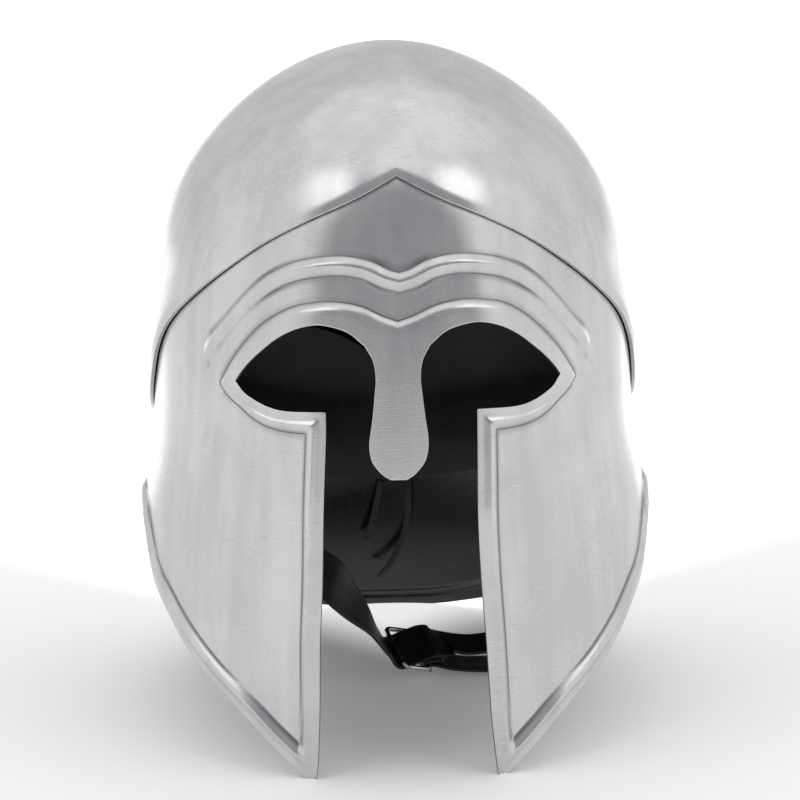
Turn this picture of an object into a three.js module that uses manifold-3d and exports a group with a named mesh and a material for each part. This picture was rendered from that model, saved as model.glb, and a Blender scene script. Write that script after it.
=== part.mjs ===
import * as THREE from 'three';
import { mergeVertices } from 'three/addons/utils/BufferGeometryUtils.js';
import Module from 'manifold-3d';

// A corinthian helmet in polished sheet steel, in millimetres, with +Z up and the face towards -Y.
// It is drawn as it is worn, with the cheek tips at z = 0 and the skull's middle line on the Z axis.
// At the end the whole helmet is leaned back until it rests on its cheek tips and its neck guard.

const wasm = await Module();
wasm.setup();

// Driving dimensions

const SKULL_HALF_WIDTH = 105.2;
const SKULL_FRONT = 122.6;
const SKULL_BACK = 126;
const WIDEST_HEIGHT = 182;
const DOME_HEIGHT = 118;
const DOME_POINT = 0.08;
const BROW_BULGE = 0.12;
const STEEL = 1.3;
const LAP_STEP = 2.6;
const LAP_DEPTH = 8;
const CLEARANCE = 0.45;
const BEVEL_WIDTH = 2.7;
const BEVEL_DROP = 0.5;

const CHEEK_LEAN = 14;
const SIDE_NARROWING = 0.6;
const SIDE_FLARE = 5.2;
const NAPE_HOLLOW = 8;
const NECK_FLARE = 21.3;
const NECK_FLARE_START = 62;

const BORDER_WIDTH = 9;
const STEP_HEIGHT = 2.4;
const STEP_WIDTH = 3.7;
const STEP_ROUNDNESS = 1.4;
const EDGE_WIDTH = 5.3;
const LIP_WIDTH = 2.8;
const EDGE_DROP = 1.1;
const EDGE_DROP_TOP = 160;
const EDGE_DROP_FADE = 6;
const RIDGE_HEIGHT = 2.5;
const RIDGE_ABOVE = 3.7;
const RIDGE_BELOW = 4.4;
const RIDGE_ROUNDNESS = 1.35;
const RIDGE_FADE_START = 84;
const RIDGE_FADE_END = 97;

const TIP_Y = -100;
const NECK_EDGE_Y = 140;
const NECK_EDGE_HEIGHT = 38;
const ORIGIN_Y = 26.9;

// Tables. s is the distance round the helmet from the middle of the face, measured at eye level,
// and z is the height above the cheek tips.

// Where the eye openings and the cheeks begin and end, in the same measures.
const EYE_START = 13;
const EYE_END = 73;
const EYE_START_HEIGHT = 178;
const CHEEK_START = 31;
const CHEEK_TOP = 151;
const CHEEK_END = 43.8;
const CHEEK_BOTTOM = -3;

const SKULL_RIM = rows('s z', [
  [0, 246], [20, 236.5], [40, 228.5], [60, 219.5], [80, 208.5], [100, 197.5], [116, 189], [128, 182],
  [142, 172], [155, 161], [170, 151.5], [190, 143], [215, 138], [250, 135], [300, 134], [360, 134],
]);
const UPPER_RIDGE_CREST = rows('s z', [
  [0, 203.2], [6, 205], [13, 208.3], [21, 210], [29, 210.2], [37, 209.4], [45, 207.8], [54, 204.5],
  [63, 199], [72, 191.5], [80, 184.5], [88, 178], [96, 170.5],
]);
const LOWER_RIDGE_CREASE = rows('s z', [
  [0, 187.5], [7, 190], [14, 193.3], [21, 195], [29, 195.6], [37, 195], [43, 194], [50, 191.5],
  [59, 186.7], [68, 179.5], [76, 171.5], [83, 163],
]);
const EYE_UPPER = rows('s z', [
  [EYE_START, EYE_START_HEIGHT], [19.5, 183.3], [26.5, 185.7], [33, 186.5], [41.5, 185], [50, 181.4],
  [58.5, 175.8], [66, 170], [EYE_END, 163],
]);
const EYE_LOWER = rows('s z', [
  [CHEEK_START, CHEEK_TOP], [40, 151], [47, 151.1], [53, 151.8], [59, 153.5], [64, 155.6], [69.5, 158.7],
  [EYE_END, 163],
]);
// The crease round the raised zone, back from the eye's outer corner and under the eye, and the
// place near the cheek's tip where its stretches beside the face gap and along the bottom meet.
const EYE_CREASE = rows('s z', [
  [40, 142.3], [46.5, 142.7], [53, 143.5], [59, 145], [65, 147.5], [72, 152], [80, 157], [84, 161.5],
]);
const TIP_CREASE = { s: 49.5, z: 14 };
const MIDDLE_LINE = rows('s z', [
  [EYE_END, 163], [83, 160.5], [97, 157.2], [114, 152.5], [134, 147.5], [156, 140.5], [180, 134], [207, 128],
  [238, 123], [291, 119], [360, 117],
]);
const CHEEK_INNER = rows('z s', [
  [CHEEK_BOTTOM, CHEEK_END], [12, 40.8], [26, 38.6], [57, 35.4], [82, 32.8], [106, 31.2],
  [130, CHEEK_START], [CHEEK_TOP, CHEEK_START],
]);
const BOTTOM_EDGE = rows('s z', [
  [CHEEK_END, CHEEK_BOTTOM], [61, 12], [76.5, 25.5], [94.5, 38.5], [111, 51.5], [127, 65], [141, 75], [149, 84],
  [156, 94], [163, 101], [172, 105.3], [182, 105.6], [195, 101], [215, 87.5], [240, 72], [270, 57],
  [300, 45], [330, 38.2], [345, 37.2], [360, 37.1],
]);
const NASAL_HALF_WIDTH = rows('z s', [
  [124.2, 2.5], [125.3, 4.6], [128, 7.6], [132, 10.4], [139, 11.6], [150, 10.3], [158, 9.4], [165, 8.8],
  [172, 9.8], [EYE_START_HEIGHT, EYE_START],
]);

// Small differences between the two sides, as on work done by hand. The face gap is wider on the
// viewer's left, and the nasal and the right eye sit a little to the left.
const LEFT_GAP_SHIFT = rows('z shift', [
  [-3, 0], [6, 0], [16.5, 0.6], [27, 1.05], [38, 1.4], [59, 2], [77, 2.15], [100, 2.35], [111.5, 2.1],
  [126, 1.2], [136, 0.5], [145, 0], [160, 0],
]);
const EYE_BAND_SHIFT = rows('s shift', [
  [-75, 0], [-40, -0.2], [-14, -0.9], [0, -1], [14, -1.6], [40, -1.8], [60, -1.8], [73, -1.1], [95, 0],
]);
const SHIFT_START = 50;
const SHIFT_FADE = 45;
const BAND_NASAL = 22;
const BAND_LOW = 150;
const BAND_HIGH = 184;
const BAND_FADE = 14;

const COLUMNS_NASAL = [0, 6.5, EYE_START];
const COLUMNS_EYE = [19.5, 26.5, 33, 41.5, 50, 58.5, 66, EYE_END];
const COLUMNS_BACK = [
  78, 84, 90, 97, 105, 114, 124, 134, 145, 156, 168, 180, 193, 207, 222, 238, 255, 273, 291, 309, 326, 341,
];
const CREST_COLUMN = CHEEK_START + EDGE_WIDTH;
const CREASE_COLUMN = CHEEK_START + BORDER_WIDTH;
const COLUMNS_CHEEK = [
  CHEEK_START, CHEEK_START + LIP_WIDTH, CREST_COLUMN, CREASE_COLUMN, 46, 52, 58.5, 64, 69, EYE_END,
];

// The liner is a leather band along the steel with a row of tongues that lean inwards.
const LINER_THICKNESS = 1.8;
const LINER_SEAT = 1.1;
const LINER_BAND = 37;
const TONGUE_HEIGHT = 29;
const TONGUE_LEAN = 13;
const TONGUE_COUNT = 8;
const TONGUE_GAP_DEPTH = 0.72;
const LINER_LOWER_EDGE = rows('s z', [
  [0, 193], [40, 190], [80, 172.5], [110, 157], [150, 141], [200, 129], [250, 115], [300, 105.5], [330, 101],
  [360, 99.5],
]);

// The chin strap. Each row is a section: its middle, and the way in which its width points.
const STRAP_WIDTH = 20;
const STRAP_THICKNESS = 1.8;
const STRAP_ANCHOR_X = 100.4;
const STRAP_LONG = rows('x y z wx wy wz', [
  [-100.4, 18, 122, -0.12, -1, 0],
  [-100.6, 18, 109, -0.12, -1, -0.05],
  [-96, 18.5, 98.5, -0.2, -0.85, -0.45],
  [-82, 15, 91, -0.4, -0.45, -0.8],
  [-60, 7, 84, -0.45, -0.25, -0.86],
  [-43, 1.5, 77, -0.5, -0.35, -0.8],
  [-29.5, 0, 69, -0.45, -0.48, -0.75],
  [-20.8, 5.5, 59, -0.18, -0.65, -0.74],
  [-12, 14, 48.5, 0.05, -0.85, -0.52],
  [-6.2, 24, 37.6, 0.3, -0.76, -0.58],
  [-1.5, 29.3, 31.3, 0.35, -0.72, -0.6],
  [5.9, 32, 33.1, 0.35, -0.72, -0.6],
  [13.4, 33.7, 35.4, 0.35, -0.72, -0.6],
  [18.1, 36.5, 34.8, 0.35, -0.72, -0.6],
  [22, 40, 34.2, 0.16, -0.95, -0.3],
  [31, 41.6, 32.4, 0, -0.96, -0.28],
  [42, 42, 33, 0, -0.96, -0.28],
  [56, 42, 35, 0, -0.96, -0.28],
]);
const STRAP_SHORT = rows('x y z wx wy wz', [
  [18.7, 39.7, 31.2, 0.35, -0.72, -0.6],
  [15.6, 37.4, 32.2, 0.35, -0.72, -0.6],
  [12.5, 35.4, 32.9, 0.35, -0.72, -0.6],
  [10.3, 34.5, 32.6, 0.35, -0.72, -0.6],
  [9.2, 35, 31.5, 0.35, -0.72, -0.6],
  [8.8, 35.8, 30.1, 0.35, -0.72, -0.6],
  [10.1, 37.4, 29, 0.35, -0.72, -0.6],
  [13.1, 39.6, 28.2, 0.35, -0.72, -0.6],
  [17.4, 40, 27.6, 0.24, -0.86, -0.42],
  [25, 37.8, 25.2, 0.06, -0.98, -0.18],
  [40, 36.4, 24.3, 0, -0.985, -0.17],
  [56, 34.5, 25, 0.03, -0.98, -0.14],
  [70, 30.5, 33.5, 0.1, -0.97, -0.02],
  [82, 26, 55, 0.08, -0.99, 0],
  [93, 21.5, 82, 0.04, -1, 0.02],
  [100, 18.4, 107.5, 0.1, -1, 0],
  [100.4, 18, 122, 0.12, -1, 0],
]);

const BUCKLE_WIRE = 1.1;
const BUCKLE_LENGTH = 14;
const BUCKLE_WIDTH = 24.5;
const BUCKLE_CORNER = 3;
const BUCKLE_CENTRE = new THREE.Vector3(5.5, 32.4, 32.4);
const BUCKLE_ACROSS = new THREE.Vector3(0.36, -0.72, -0.6);
const BUCKLE_ALONG = new THREE.Vector3(0.8, 0.55, -0.2);

const STUD_HEIGHT = 116;
const STUD_Y = 18;
const STUD_HEAD_RADIUS = 4.5;
const STUD_HEAD_HEIGHT = 1.6;
const STUD_SHANK_RADIUS = 1.8;
const STUD_SEAT = 0.3;

// The liner's drawstring comes out under its lower edge in two flat leather ends.
const LACE_WIDTH = 3;
const LACE_THICKNESS = 1.2;
const LACE_LEFT = rows('x y z', [
  [-3, 114.8, 99.1], [-4.2, 115, 92], [-6.2, 115.8, 83], [-8.2, 117, 75.5], [-10.1, 118, 70],
]);
const LACE_RIGHT = rows('x y z', [
  [9.8, 114.8, 99.5], [9.8, 115, 91.5], [9.2, 116, 82], [7.8, 117, 74.5], [5.3, 118, 68], [0.7, 119.5, 59],
  [-4.5, 121, 52.5],
]);

// Helpers for tables and curves

function rows(names, values) {
  const keys = names.split(' ');
  return values.map((line) => Object.fromEntries(keys.map((key, i) => [key, line[i]])));
}

function smooth(t) {
  const c = Math.min(Math.max(t, 0), 1);
  return c * c * (3 - 2 * c);
}

// A smooth curve through a table's rows, straight on past its ends.
function curve(table, across, up) {
  const x = table.map((row) => row[across]);
  const y = table.map((row) => row[up]);
  const slope = x.map((_, i) => {
    const a = Math.max(i - 1, 0);
    const b = Math.min(i + 1, x.length - 1);
    return (y[b] - y[a]) / (x[b] - x[a]);
  });
  return (at) => {
    const last = x.length - 1;
    if (at <= x[0]) return y[0] + slope[0] * (at - x[0]);
    if (at >= x[last]) return y[last] + slope[last] * (at - x[last]);
    let i = 0;
    while (at > x[i + 1]) i += 1;
    const step = x[i + 1] - x[i];
    const t = (at - x[i]) / step;
    const t2 = t * t;
    const t3 = t2 * t;
    return (2 * t3 - 3 * t2 + 1) * y[i] + (t3 - 2 * t2 + t) * step * slope[i]
      + (3 * t2 - 2 * t3) * y[i + 1] + (t3 - t2) * step * slope[i + 1];
  };
}

// A value held between a table's first and last rows.
function within(table, across, value) {
  return Math.min(Math.max(value, table[0][across]), table[table.length - 1][across]);
}

const skullRim = curve(SKULL_RIM, 's', 'z');
const ridgeCrest = curve(UPPER_RIDGE_CREST, 's', 'z');
const ridgeCrease = curve(LOWER_RIDGE_CREASE, 's', 'z');
const eyeUpper = curve(EYE_UPPER, 's', 'z');
const eyeLower = curve(EYE_LOWER, 's', 'z');
const eyeCrease = curve(EYE_CREASE, 's', 'z');
const middleLine = curve(MIDDLE_LINE, 's', 'z');
const cheekInner = curve(CHEEK_INNER, 'z', 's');
const bottomEdge = curve(BOTTOM_EDGE, 's', 'z');
const nasalHalfWidth = curve(NASAL_HALF_WIDTH, 'z', 's');
const gapShift = curve(LEFT_GAP_SHIFT, 'z', 'shift');
const bandShift = curve(EYE_BAND_SHIFT, 's', 'shift');
const linerLowerEdge = curve(LINER_LOWER_EDGE, 's', 'z');

// The helmet's outer form: an oval section at each height, round the angle from the face.
// The steel of the mask lies inwards of it by the lap step.
function helmetForm(angle, z, inset) {
  const t = Math.min(Math.max((z - WIDEST_HEIGHT) / DOME_HEIGHT, 0), 1);
  const q = Math.sqrt(1 - t * t) * (1 - DOME_POINT * t ** 4);
  const bulge = 1 + BROW_BULGE * 4 * t * t * (1 - t * t);
  const below = Math.max(WIDEST_HEIGHT - z, 0);
  const lean = -CHEEK_LEAN * (below / WIDEST_HEIGHT) ** 2;
  const side = SIDE_FLARE * smooth((below - 28) / 55) - SIDE_NARROWING * smooth(below / 30);
  const neck = NECK_FLARE * Math.max((below - NECK_FLARE_START) / 75, 0) ** 1.6;
  const back = neck - NAPE_HOLLOW * smooth(below / 70);
  const c = Math.cos(angle);
  const s = Math.sin(angle);
  const out = (c > 0 ? lean : back) * c * c + side * s * s - inset;
  const depth = c > 0 ? SKULL_FRONT * q * bulge : SKULL_BACK * q;
  return new THREE.Vector3((SKULL_HALF_WIDTH * q + out) * s, -(depth + out) * c, z);
}

// The angle at a distance s round the eye-level section, from a running sum of short chords.
const SECTION_HEIGHT = 170;
const SECTION_STEPS = 1440;
const sectionLength = [0];
for (let i = 1; i <= SECTION_STEPS; i += 1) {
  const a = helmetForm((Math.PI * (i - 1)) / SECTION_STEPS, SECTION_HEIGHT, LAP_STEP);
  const b = helmetForm((Math.PI * i) / SECTION_STEPS, SECTION_HEIGHT, LAP_STEP);
  sectionLength.push(sectionLength[i - 1] + a.distanceTo(b));
}
const HALF_ROUND = sectionLength[SECTION_STEPS];

function angleAt(s) {
  const length = Math.min(Math.abs(s), HALF_ROUND);
  let low = 0;
  let high = SECTION_STEPS;
  while (high - low > 1) {
    const middle = (low + high) >> 1;
    if (sectionLength[middle] > length) high = middle;
    else low = middle;
  }
  const part = (length - sectionLength[low]) / (sectionLength[high] - sectionLength[low]);
  return (Math.sign(s) * Math.PI * (low + part)) / SECTION_STEPS;
}

// A point of the form with its outward direction, raised by a height.
function raised(s, z, inset, height) {
  const angle = angleAt(s);
  const top = WIDEST_HEIGHT + DOME_HEIGHT;
  const point = helmetForm(angle, z, inset);
  if (z > top - 1e-6) return point.add(new THREE.Vector3(0, 0, height));
  const step = Math.min(0.05, (top - z) / 2);
  const round = helmetForm(angle + 1e-4, z, inset).sub(helmetForm(angle - 1e-4, z, inset));
  const up = helmetForm(angle, z + step, inset).sub(helmetForm(angle, z - step, inset));
  return point.addScaledVector(round.cross(up).normalize(), height);
}

// Distance in the rolled-out sheet from a point to a line through table rows.
function distanceTo(line, s, z) {
  let best = Infinity;
  for (let i = 0; i + 1 < line.length; i += 1) {
    const [a, b] = [line[i], line[i + 1]];
    const ds = b.s - a.s;
    const dz = b.z - a.z;
    const t = Math.min(Math.max(((s - a.s) * ds + (z - a.z) * dz) / (ds * ds + dz * dz), 0), 1);
    best = Math.min(best, Math.hypot(s - a.s - t * ds, z - a.z - t * dz));
  }
  return best;
}

// The eye's lower edge with the first of its upper edge, round the outer corner.
const eyeCorner = [...EYE_LOWER, { s: EYE_END - 0.8, z: 164.2 }];

// The crease round the raised zone: along the brow, back under the eye, down beside the face gap
// at the border's width, and up along the bottom edge at the same width.
function stepLine() {
  const besideGap = [];
  for (let z = EYE_CREASE[0].z - 4; z > TIP_CREASE.z + 4; z -= 8) {
    besideGap.push({ s: cheekInner(z) + BORDER_WIDTH, z });
  }
  const aboveBottom = BOTTOM_EDGE.map((row) => {
    const slope = (bottomEdge(row.s + 0.5) - bottomEdge(row.s - 0.5));
    const size = Math.hypot(1, slope);
    return { s: row.s - (BORDER_WIDTH * slope) / size, z: row.z + BORDER_WIDTH / size };
  }).filter((row) => row.s > TIP_CREASE.s + 0.5);
  const underEye = EYE_CREASE.slice().reverse();
  return [...LOWER_RIDGE_CREASE, ...underEye, ...besideGap, TIP_CREASE, ...aboveBottom];
}

const stepCrease = stepLine();

// Whether a point lies on the face's side of a line that is closed far below.
function under(line, s, z) {
  const first = line[0];
  const last = line[line.length - 1];
  const farSide = [{ s: last.s + 20, z: last.z }, { s: last.s + 20, z: -90 }];
  const nearSide = [{ s: -5, z: -90 }, { s: -5, z: first.z }];
  const ring = [...line, ...farSide, ...nearSide, first];
  let odd = false;
  for (let i = 0; i + 1 < ring.length; i += 1) {
    const [a, b] = [ring[i], ring[i + 1]];
    const crosses = (a.s > s) !== (b.s > s);
    if (crosses && z < a.z + ((s - a.s) * (b.z - a.z)) / (b.s - a.s)) odd = !odd;
  }
  return odd;
}

// Raised work on the mask: the upper brow ridge, and the zone of nasal, eyes and borders, which
// rises from its crease and falls again towards the eye's lower edge, the face gap and the bottom.
function relief(signedS, z) {
  const s = Math.abs(signedS);
  const across = distanceTo(UPPER_RIDGE_CREST, s, z) / (z > ridgeCrest(s) ? RIDGE_ABOVE : RIDGE_BELOW);
  const left = 1 - smooth((s - RIDGE_FADE_START) / (RIDGE_FADE_END - RIDGE_FADE_START));
  const upper = RIDGE_HEIGHT * left * Math.max(1 - across ** RIDGE_ROUNDNESS, 0);
  const rise = Math.min(distanceTo(stepCrease, s, z) / STEP_WIDTH, 1);
  const step = STEP_HEIGHT * (1 - (1 - rise) ** STEP_ROUNDNESS);
  const edge = Math.min(...[eyeCorner, CHEEK_INNER, BOTTOM_EDGE].map((line) => distanceTo(line, s, z)));
  const fade = 1 - smooth((z - EDGE_DROP_TOP) / EDGE_DROP_FADE);
  const fall = EDGE_DROP * fade * smooth((EDGE_WIDTH - edge) / (EDGE_WIDTH - LIP_WIDTH));
  return Math.max(upper, under(stepCrease, s, z) ? step - fall : 0);
}

// Where a mirrored place of the mask really is, moved sideways by the two tables of shifts. The
// eyes' band fades out above and below the eyes, but keeps its whole shift down the nasal.
function uneven(s, z) {
  const besideGap = s < 0 ? 1 - smooth((-s - SHIFT_START) / SHIFT_FADE) : 0;
  const low = Math.abs(s) < BAND_NASAL ? 1 : smooth((z - BAND_LOW) / BAND_FADE);
  const high = 1 - smooth((z - BAND_HIGH) / BAND_FADE);
  return s - besideGap * gapShift(within(LEFT_GAP_SHIFT, 'z', z))
    + low * high * bandShift(within(EYE_BAND_SHIFT, 's', s));
}

// Sheets

// Joins blocks of points into one closed wall: both faces, mirrored left and right, and the edges.
function closedSheet(blocks, outer, inner) {
  const index = new Map();
  const positions = [];
  const faces = [];
  const vertex = (point, layer) => {
    const key = `${layer} ${[point.x, point.y, point.z].map((v) => Math.round(v * 2000) + 0).join(' ')}`;
    if (!index.has(key)) {
      index.set(key, positions.length / 3);
      positions.push(point.x, point.y, point.z);
    }
    return index.get(key);
  };
  const rims = new Map();
  const addFace = (a, b, c) => {
    if (a[0] === b[0] || b[0] === c[0] || c[0] === a[0]) return;
    faces.push(a[0], b[0], c[0], a[1], c[1], b[1]);
    for (const [p, q] of [[a, b], [b, c], [c, a]]) {
      const back = `${q[0]} ${p[0]}`;
      if (rims.has(back)) rims.delete(back);
      else rims.set(`${p[0]} ${q[0]}`, [p, q]);
    }
  };
  for (const block of blocks) {
    for (const hand of [1, -1]) {
      const grid = block.map((line) => line.map(([s, z]) => {
        const pair = [outer(hand * s, z), inner(hand * s, z)];
        for (const point of pair) {
          if (Math.abs(point.x) < 1e-3) point.x = 0;
        }
        return [vertex(pair[0], 'outer'), vertex(pair[1], 'inner')];
      }));
      for (let r = 0; r + 1 < grid.length; r += 1) {
        for (let c = 0; c + 1 < grid[r].length; c += 1) {
          const [p, q, u, v] = [grid[r][c], grid[r][c + 1], grid[r + 1][c], grid[r + 1][c + 1]];
          if (hand > 0) {
            addFace(p, q, v);
            addFace(p, v, u);
          } else {
            addFace(p, v, q);
            addFace(p, u, v);
          }
        }
      }
    }
  }
  for (const [p, q] of rims.values()) {
    faces.push(p[0], p[1], q[0], q[0], p[1], q[1]);
  }
  const geometry = new THREE.BufferGeometry();
  geometry.setAttribute('position', new THREE.Float32BufferAttribute(positions, 3));
  geometry.setIndex(faces);
  return geometry;
}

// Solids for cutting

function toSolid(geometry) {
  const plain = geometry.clone();
  plain.deleteAttribute('normal');
  plain.deleteAttribute('uv');
  const merged = mergeVertices(plain, 1e-4);
  return new wasm.Manifold(new wasm.Mesh({
    numProp: 3,
    vertProperties: new Float32Array(merged.attributes.position.array),
    triVerts: new Uint32Array(merged.index.array),
  }));
}

function toGeometry(solid) {
  const mesh = solid.getMesh();
  const geometry = new THREE.BufferGeometry();
  geometry.setAttribute('position', new THREE.BufferAttribute(new Float32Array(mesh.vertProperties), 3));
  geometry.setIndex(new THREE.BufferAttribute(new Uint32Array(mesh.triVerts), 1));
  return geometry;
}

const FLOOR_SLOPE = NECK_EDGE_HEIGHT / (NECK_EDGE_Y - TIP_Y);
const LEAN_ANGLE = Math.atan(FLOOR_SLOPE);

// Everything under the plane that the helmet rests on.
function underFloor() {
  const slab = new THREE.BoxGeometry(400, 500, 60);
  slab.translate(0, 0, -30);
  slab.rotateX(LEAN_ANGLE);
  slab.translate(0, TIP_Y, 0);
  return toSolid(slab);
}

// Mask

function evenly(values, parts) {
  const list = [];
  for (let i = 0; i + 1 < values.length; i += 1) {
    for (let k = 0; k < parts; k += 1) list.push(values[i] + ((values[i + 1] - values[i]) * k) / parts);
  }
  list.push(values[values.length - 1]);
  return list;
}

const PLAIN_START = 84;
const PLAIN_BLEND = 30;
const ROW_GAP = 0.7;

// Heights of the rows of the forehead and sides, from the eye's upper edge to the lapped edge.
function upperRows(s) {
  const besideEye = s <= EYE_END ? eyeUpper(s) : middleLine(s);
  const foot = s <= EYE_START ? EYE_START_HEIGHT : besideEye;
  const rim = skullRim(s);
  const crest = ridgeCrest(s);
  const crease = ridgeCrease(s);
  const shaped = [
    foot,
    crease - STEP_WIDTH,
    crease,
    crest - RIDGE_BELOW,
    crest,
    crest + RIDGE_ABOVE,
    (crest + RIDGE_ABOVE + rim) / 2,
    rim,
  ];
  const plain = smooth((s - PLAIN_START) / PLAIN_BLEND);
  const heights = shaped.map((z, i) => {
    const even = foot + ((rim - foot) * i) / (shaped.length - 1);
    const held = Math.max(z, foot + ROW_GAP * i);
    return held + (even - held) * plain;
  });
  return [...heights, rim + LAP_DEPTH];
}

function turned(columns) {
  return columns[0].map((_, row) => columns.map((column) => column[row]));
}

function foreheadBlock() {
  const across = [...COLUMNS_NASAL, ...COLUMNS_EYE, ...COLUMNS_BACK, HALF_ROUND];
  return turned(across.map((s) => upperRows(s).map((z) => [s, z])));
}

function nasalBlock() {
  const heights = NASAL_HALF_WIDTH.map((row) => row.z);
  return heights.map((z) => COLUMNS_NASAL.map((s) => [(s / EYE_START) * nasalHalfWidth(z), z]));
}

const CHEEK_SHIFT = CHEEK_END - CHEEK_START;
const CHEEK_PLAIN_ROWS = 5;
const CHEEK_SHIFT_FADE = 120;
const GAP_BLEND = 50;
const STEEPEST = 1.7;

// Each column of the cheek runs from the eye or the middle line down to the bottom edge.
function cheekColumn(s) {
  const top = s <= EYE_END ? eyeLower(s) : middleLine(s);
  const foot = s + CHEEK_SHIFT * (1 - smooth((s - CREASE_COLUMN) / CHEEK_SHIFT_FADE));
  const bottom = bottomEdge(foot);
  const slope = (bottomEdge(foot + 1) - bottomEdge(foot - 1)) / 2;
  const slant = Math.min(Math.hypot(1, slope), STEEPEST);
  const plain = smooth((s - PLAIN_START) / PLAIN_BLEND);
  const held = Math.min(eyeCrease(Math.min(Math.max(s, EYE_CREASE[0].s), PLAIN_START)), top - 3 * ROW_GAP);
  const turn = held + (top - BORDER_WIDTH - held) * plain;
  const across = (width) => top - ((top - turn) * width) / BORDER_WIDTH;
  const heights = [top, across(LIP_WIDTH), across(EDGE_WIDTH), turn];
  const low = bottom + BORDER_WIDTH * slant;
  for (let i = 1; i <= CHEEK_PLAIN_ROWS; i += 1) {
    heights.push(turn + ((low - turn) * i) / (CHEEK_PLAIN_ROWS + 1));
  }
  heights.push(low, bottom + EDGE_WIDTH * slant, bottom + LIP_WIDTH * slant, bottom);
  const near = 1 - smooth((s - CREASE_COLUMN) / GAP_BLEND);
  return heights.map((z) => {
    const part = (top - z) / (top - bottom);
    const straight = CHEEK_START + CHEEK_SHIFT * part;
    const edgeZ = CHEEK_TOP + (CHEEK_BOTTOM - CHEEK_TOP) * part;
    return [s + (foot - s) * part + (cheekInner(edgeZ) - straight) * near, z];
  });
}

function cheekBlock() {
  return turned([...COLUMNS_CHEEK, ...COLUMNS_BACK, HALF_ROUND].map(cheekColumn));
}

function flipped(block) {
  return block.slice().reverse();
}

function maskGeometry() {
  const sheet = closedSheet(
    [foreheadBlock(), nasalBlock(), flipped(cheekBlock())],
    (s, z) => raised(uneven(s, z), z, LAP_STEP, relief(s, z)),
    (s, z) => raised(uneven(s, z), z, LAP_STEP, relief(s, z) - STEEL),
  );
  return toGeometry(toSolid(sheet).subtract(underFloor()));
}

// Skull

const SKULL_ROWS = 10;

function skullBlock() {
  const across = [...COLUMNS_NASAL, ...COLUMNS_EYE, ...COLUMNS_BACK, HALF_ROUND];
  const top = WIDEST_HEIGHT + DOME_HEIGHT;
  return turned(across.map((s) => {
    const rim = skullRim(s);
    const slope = skullRim(s + 1) - skullRim(s);
    const shoulder = rim + BEVEL_WIDTH * Math.hypot(1, slope);
    const heights = [rim, shoulder];
    for (let i = 1; i <= SKULL_ROWS; i += 1) {
      heights.push(shoulder + (top - shoulder) * Math.sin((Math.PI * i) / 2 / SKULL_ROWS));
    }
    return heights.map((z) => [s, z]);
  }));
}

function skullGeometry() {
  const atRim = (s, z) => z === skullRim(Math.abs(s));
  const tucked = LAP_STEP - CLEARANCE;
  return closedSheet(
    [skullBlock()],
    (s, z) => raised(s, z, 0, atRim(s, z) ? -BEVEL_DROP : 0),
    (s, z) => (atRim(s, z) ? raised(s, z, tucked, 0) : raised(s, z, 0, -STEEL)),
  );
}

// Liner

function linerBlock() {
  const across = evenly([0, HALF_ROUND], 4 * TONGUE_COUNT);
  return turned(across.map((s) => {
    const low = linerLowerEdge(s);
    const turn = (s / HALF_ROUND) * (TONGUE_COUNT / 2);
    const tongue = Math.sqrt(Math.abs(Math.sin(Math.PI * turn)));
    const height = TONGUE_HEIGHT * (1 - TONGUE_GAP_DEPTH * (1 - tongue));
    const heights = [low, low + LINER_BAND / 2, low + LINER_BAND];
    for (const part of [0.5, 1]) heights.push(low + LINER_BAND + height * part);
    return heights.map((z) => [s, z]);
  }));
}

function linerGeometry() {
  const lean = (s, z) => {
    const over = Math.max(z - linerLowerEdge(Math.abs(s)) - LINER_BAND, 0);
    return TONGUE_LEAN * (over / TONGUE_HEIGHT) ** 1.5;
  };
  const steelFace = LAP_STEP + STEEL + LINER_SEAT;
  return closedSheet(
    [linerBlock()],
    (s, z) => raised(s, z, steelFace, -lean(s, z)),
    (s, z) => raised(s, z, steelFace, -lean(s, z) - LINER_THICKNESS),
  );
}

// Straps

const STRAP_STEP = 0.5;

// Four corners of a section at each place, joined along the strap.
function strapGeometry(table, width, thickness) {
  const centre = new THREE.CatmullRomCurve3(table.map((row) => new THREE.Vector3(row.x, row.y, row.z)));
  const across = new THREE.CatmullRomCurve3(table.map((row) => new THREE.Vector3(row.wx, row.wy, row.wz)));
  const steps = Math.round((table.length - 1) / STRAP_STEP);
  const positions = [];
  const faces = [];
  for (let i = 0; i <= steps; i += 1) {
    const t = i / steps;
    const point = centre.getPoint(t);
    const along = centre.getTangent(t);
    const side = across.getPoint(t);
    side.addScaledVector(along, -side.dot(along)).normalize();
    const face = new THREE.Vector3().crossVectors(side, along);
    for (const [u, v] of [[-1, -1], [1, -1], [1, 1], [-1, 1]]) {
      const corner = point.clone();
      corner.addScaledVector(side, (u * width) / 2);
      corner.addScaledVector(face, (v * thickness) / 2);
      positions.push(corner.x, corner.y, corner.z);
    }
    if (i > 0) {
      for (let k = 0; k < 4; k += 1) {
        const a = (i - 1) * 4 + k;
        const b = (i - 1) * 4 + ((k + 1) % 4);
        faces.push(a, b + 4, b, a, a + 4, b + 4);
      }
    }
  }
  const end = steps * 4;
  faces.push(0, 1, 2, 0, 2, 3, end, end + 2, end + 1, end, end + 3, end + 2);
  const geometry = new THREE.BufferGeometry();
  geometry.setAttribute('position', new THREE.Float32BufferAttribute(positions, 3));
  geometry.setIndex(faces);
  return geometry;
}

function shankHole(hand) {
  const hole = new THREE.CylinderGeometry(STUD_SHANK_RADIUS + CLEARANCE, STUD_SHANK_RADIUS + CLEARANCE, 20, 12);
  hole.rotateZ(Math.PI / 2);
  hole.translate(hand * 101, STUD_Y, STUD_HEIGHT);
  return toSolid(hole);
}

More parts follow.
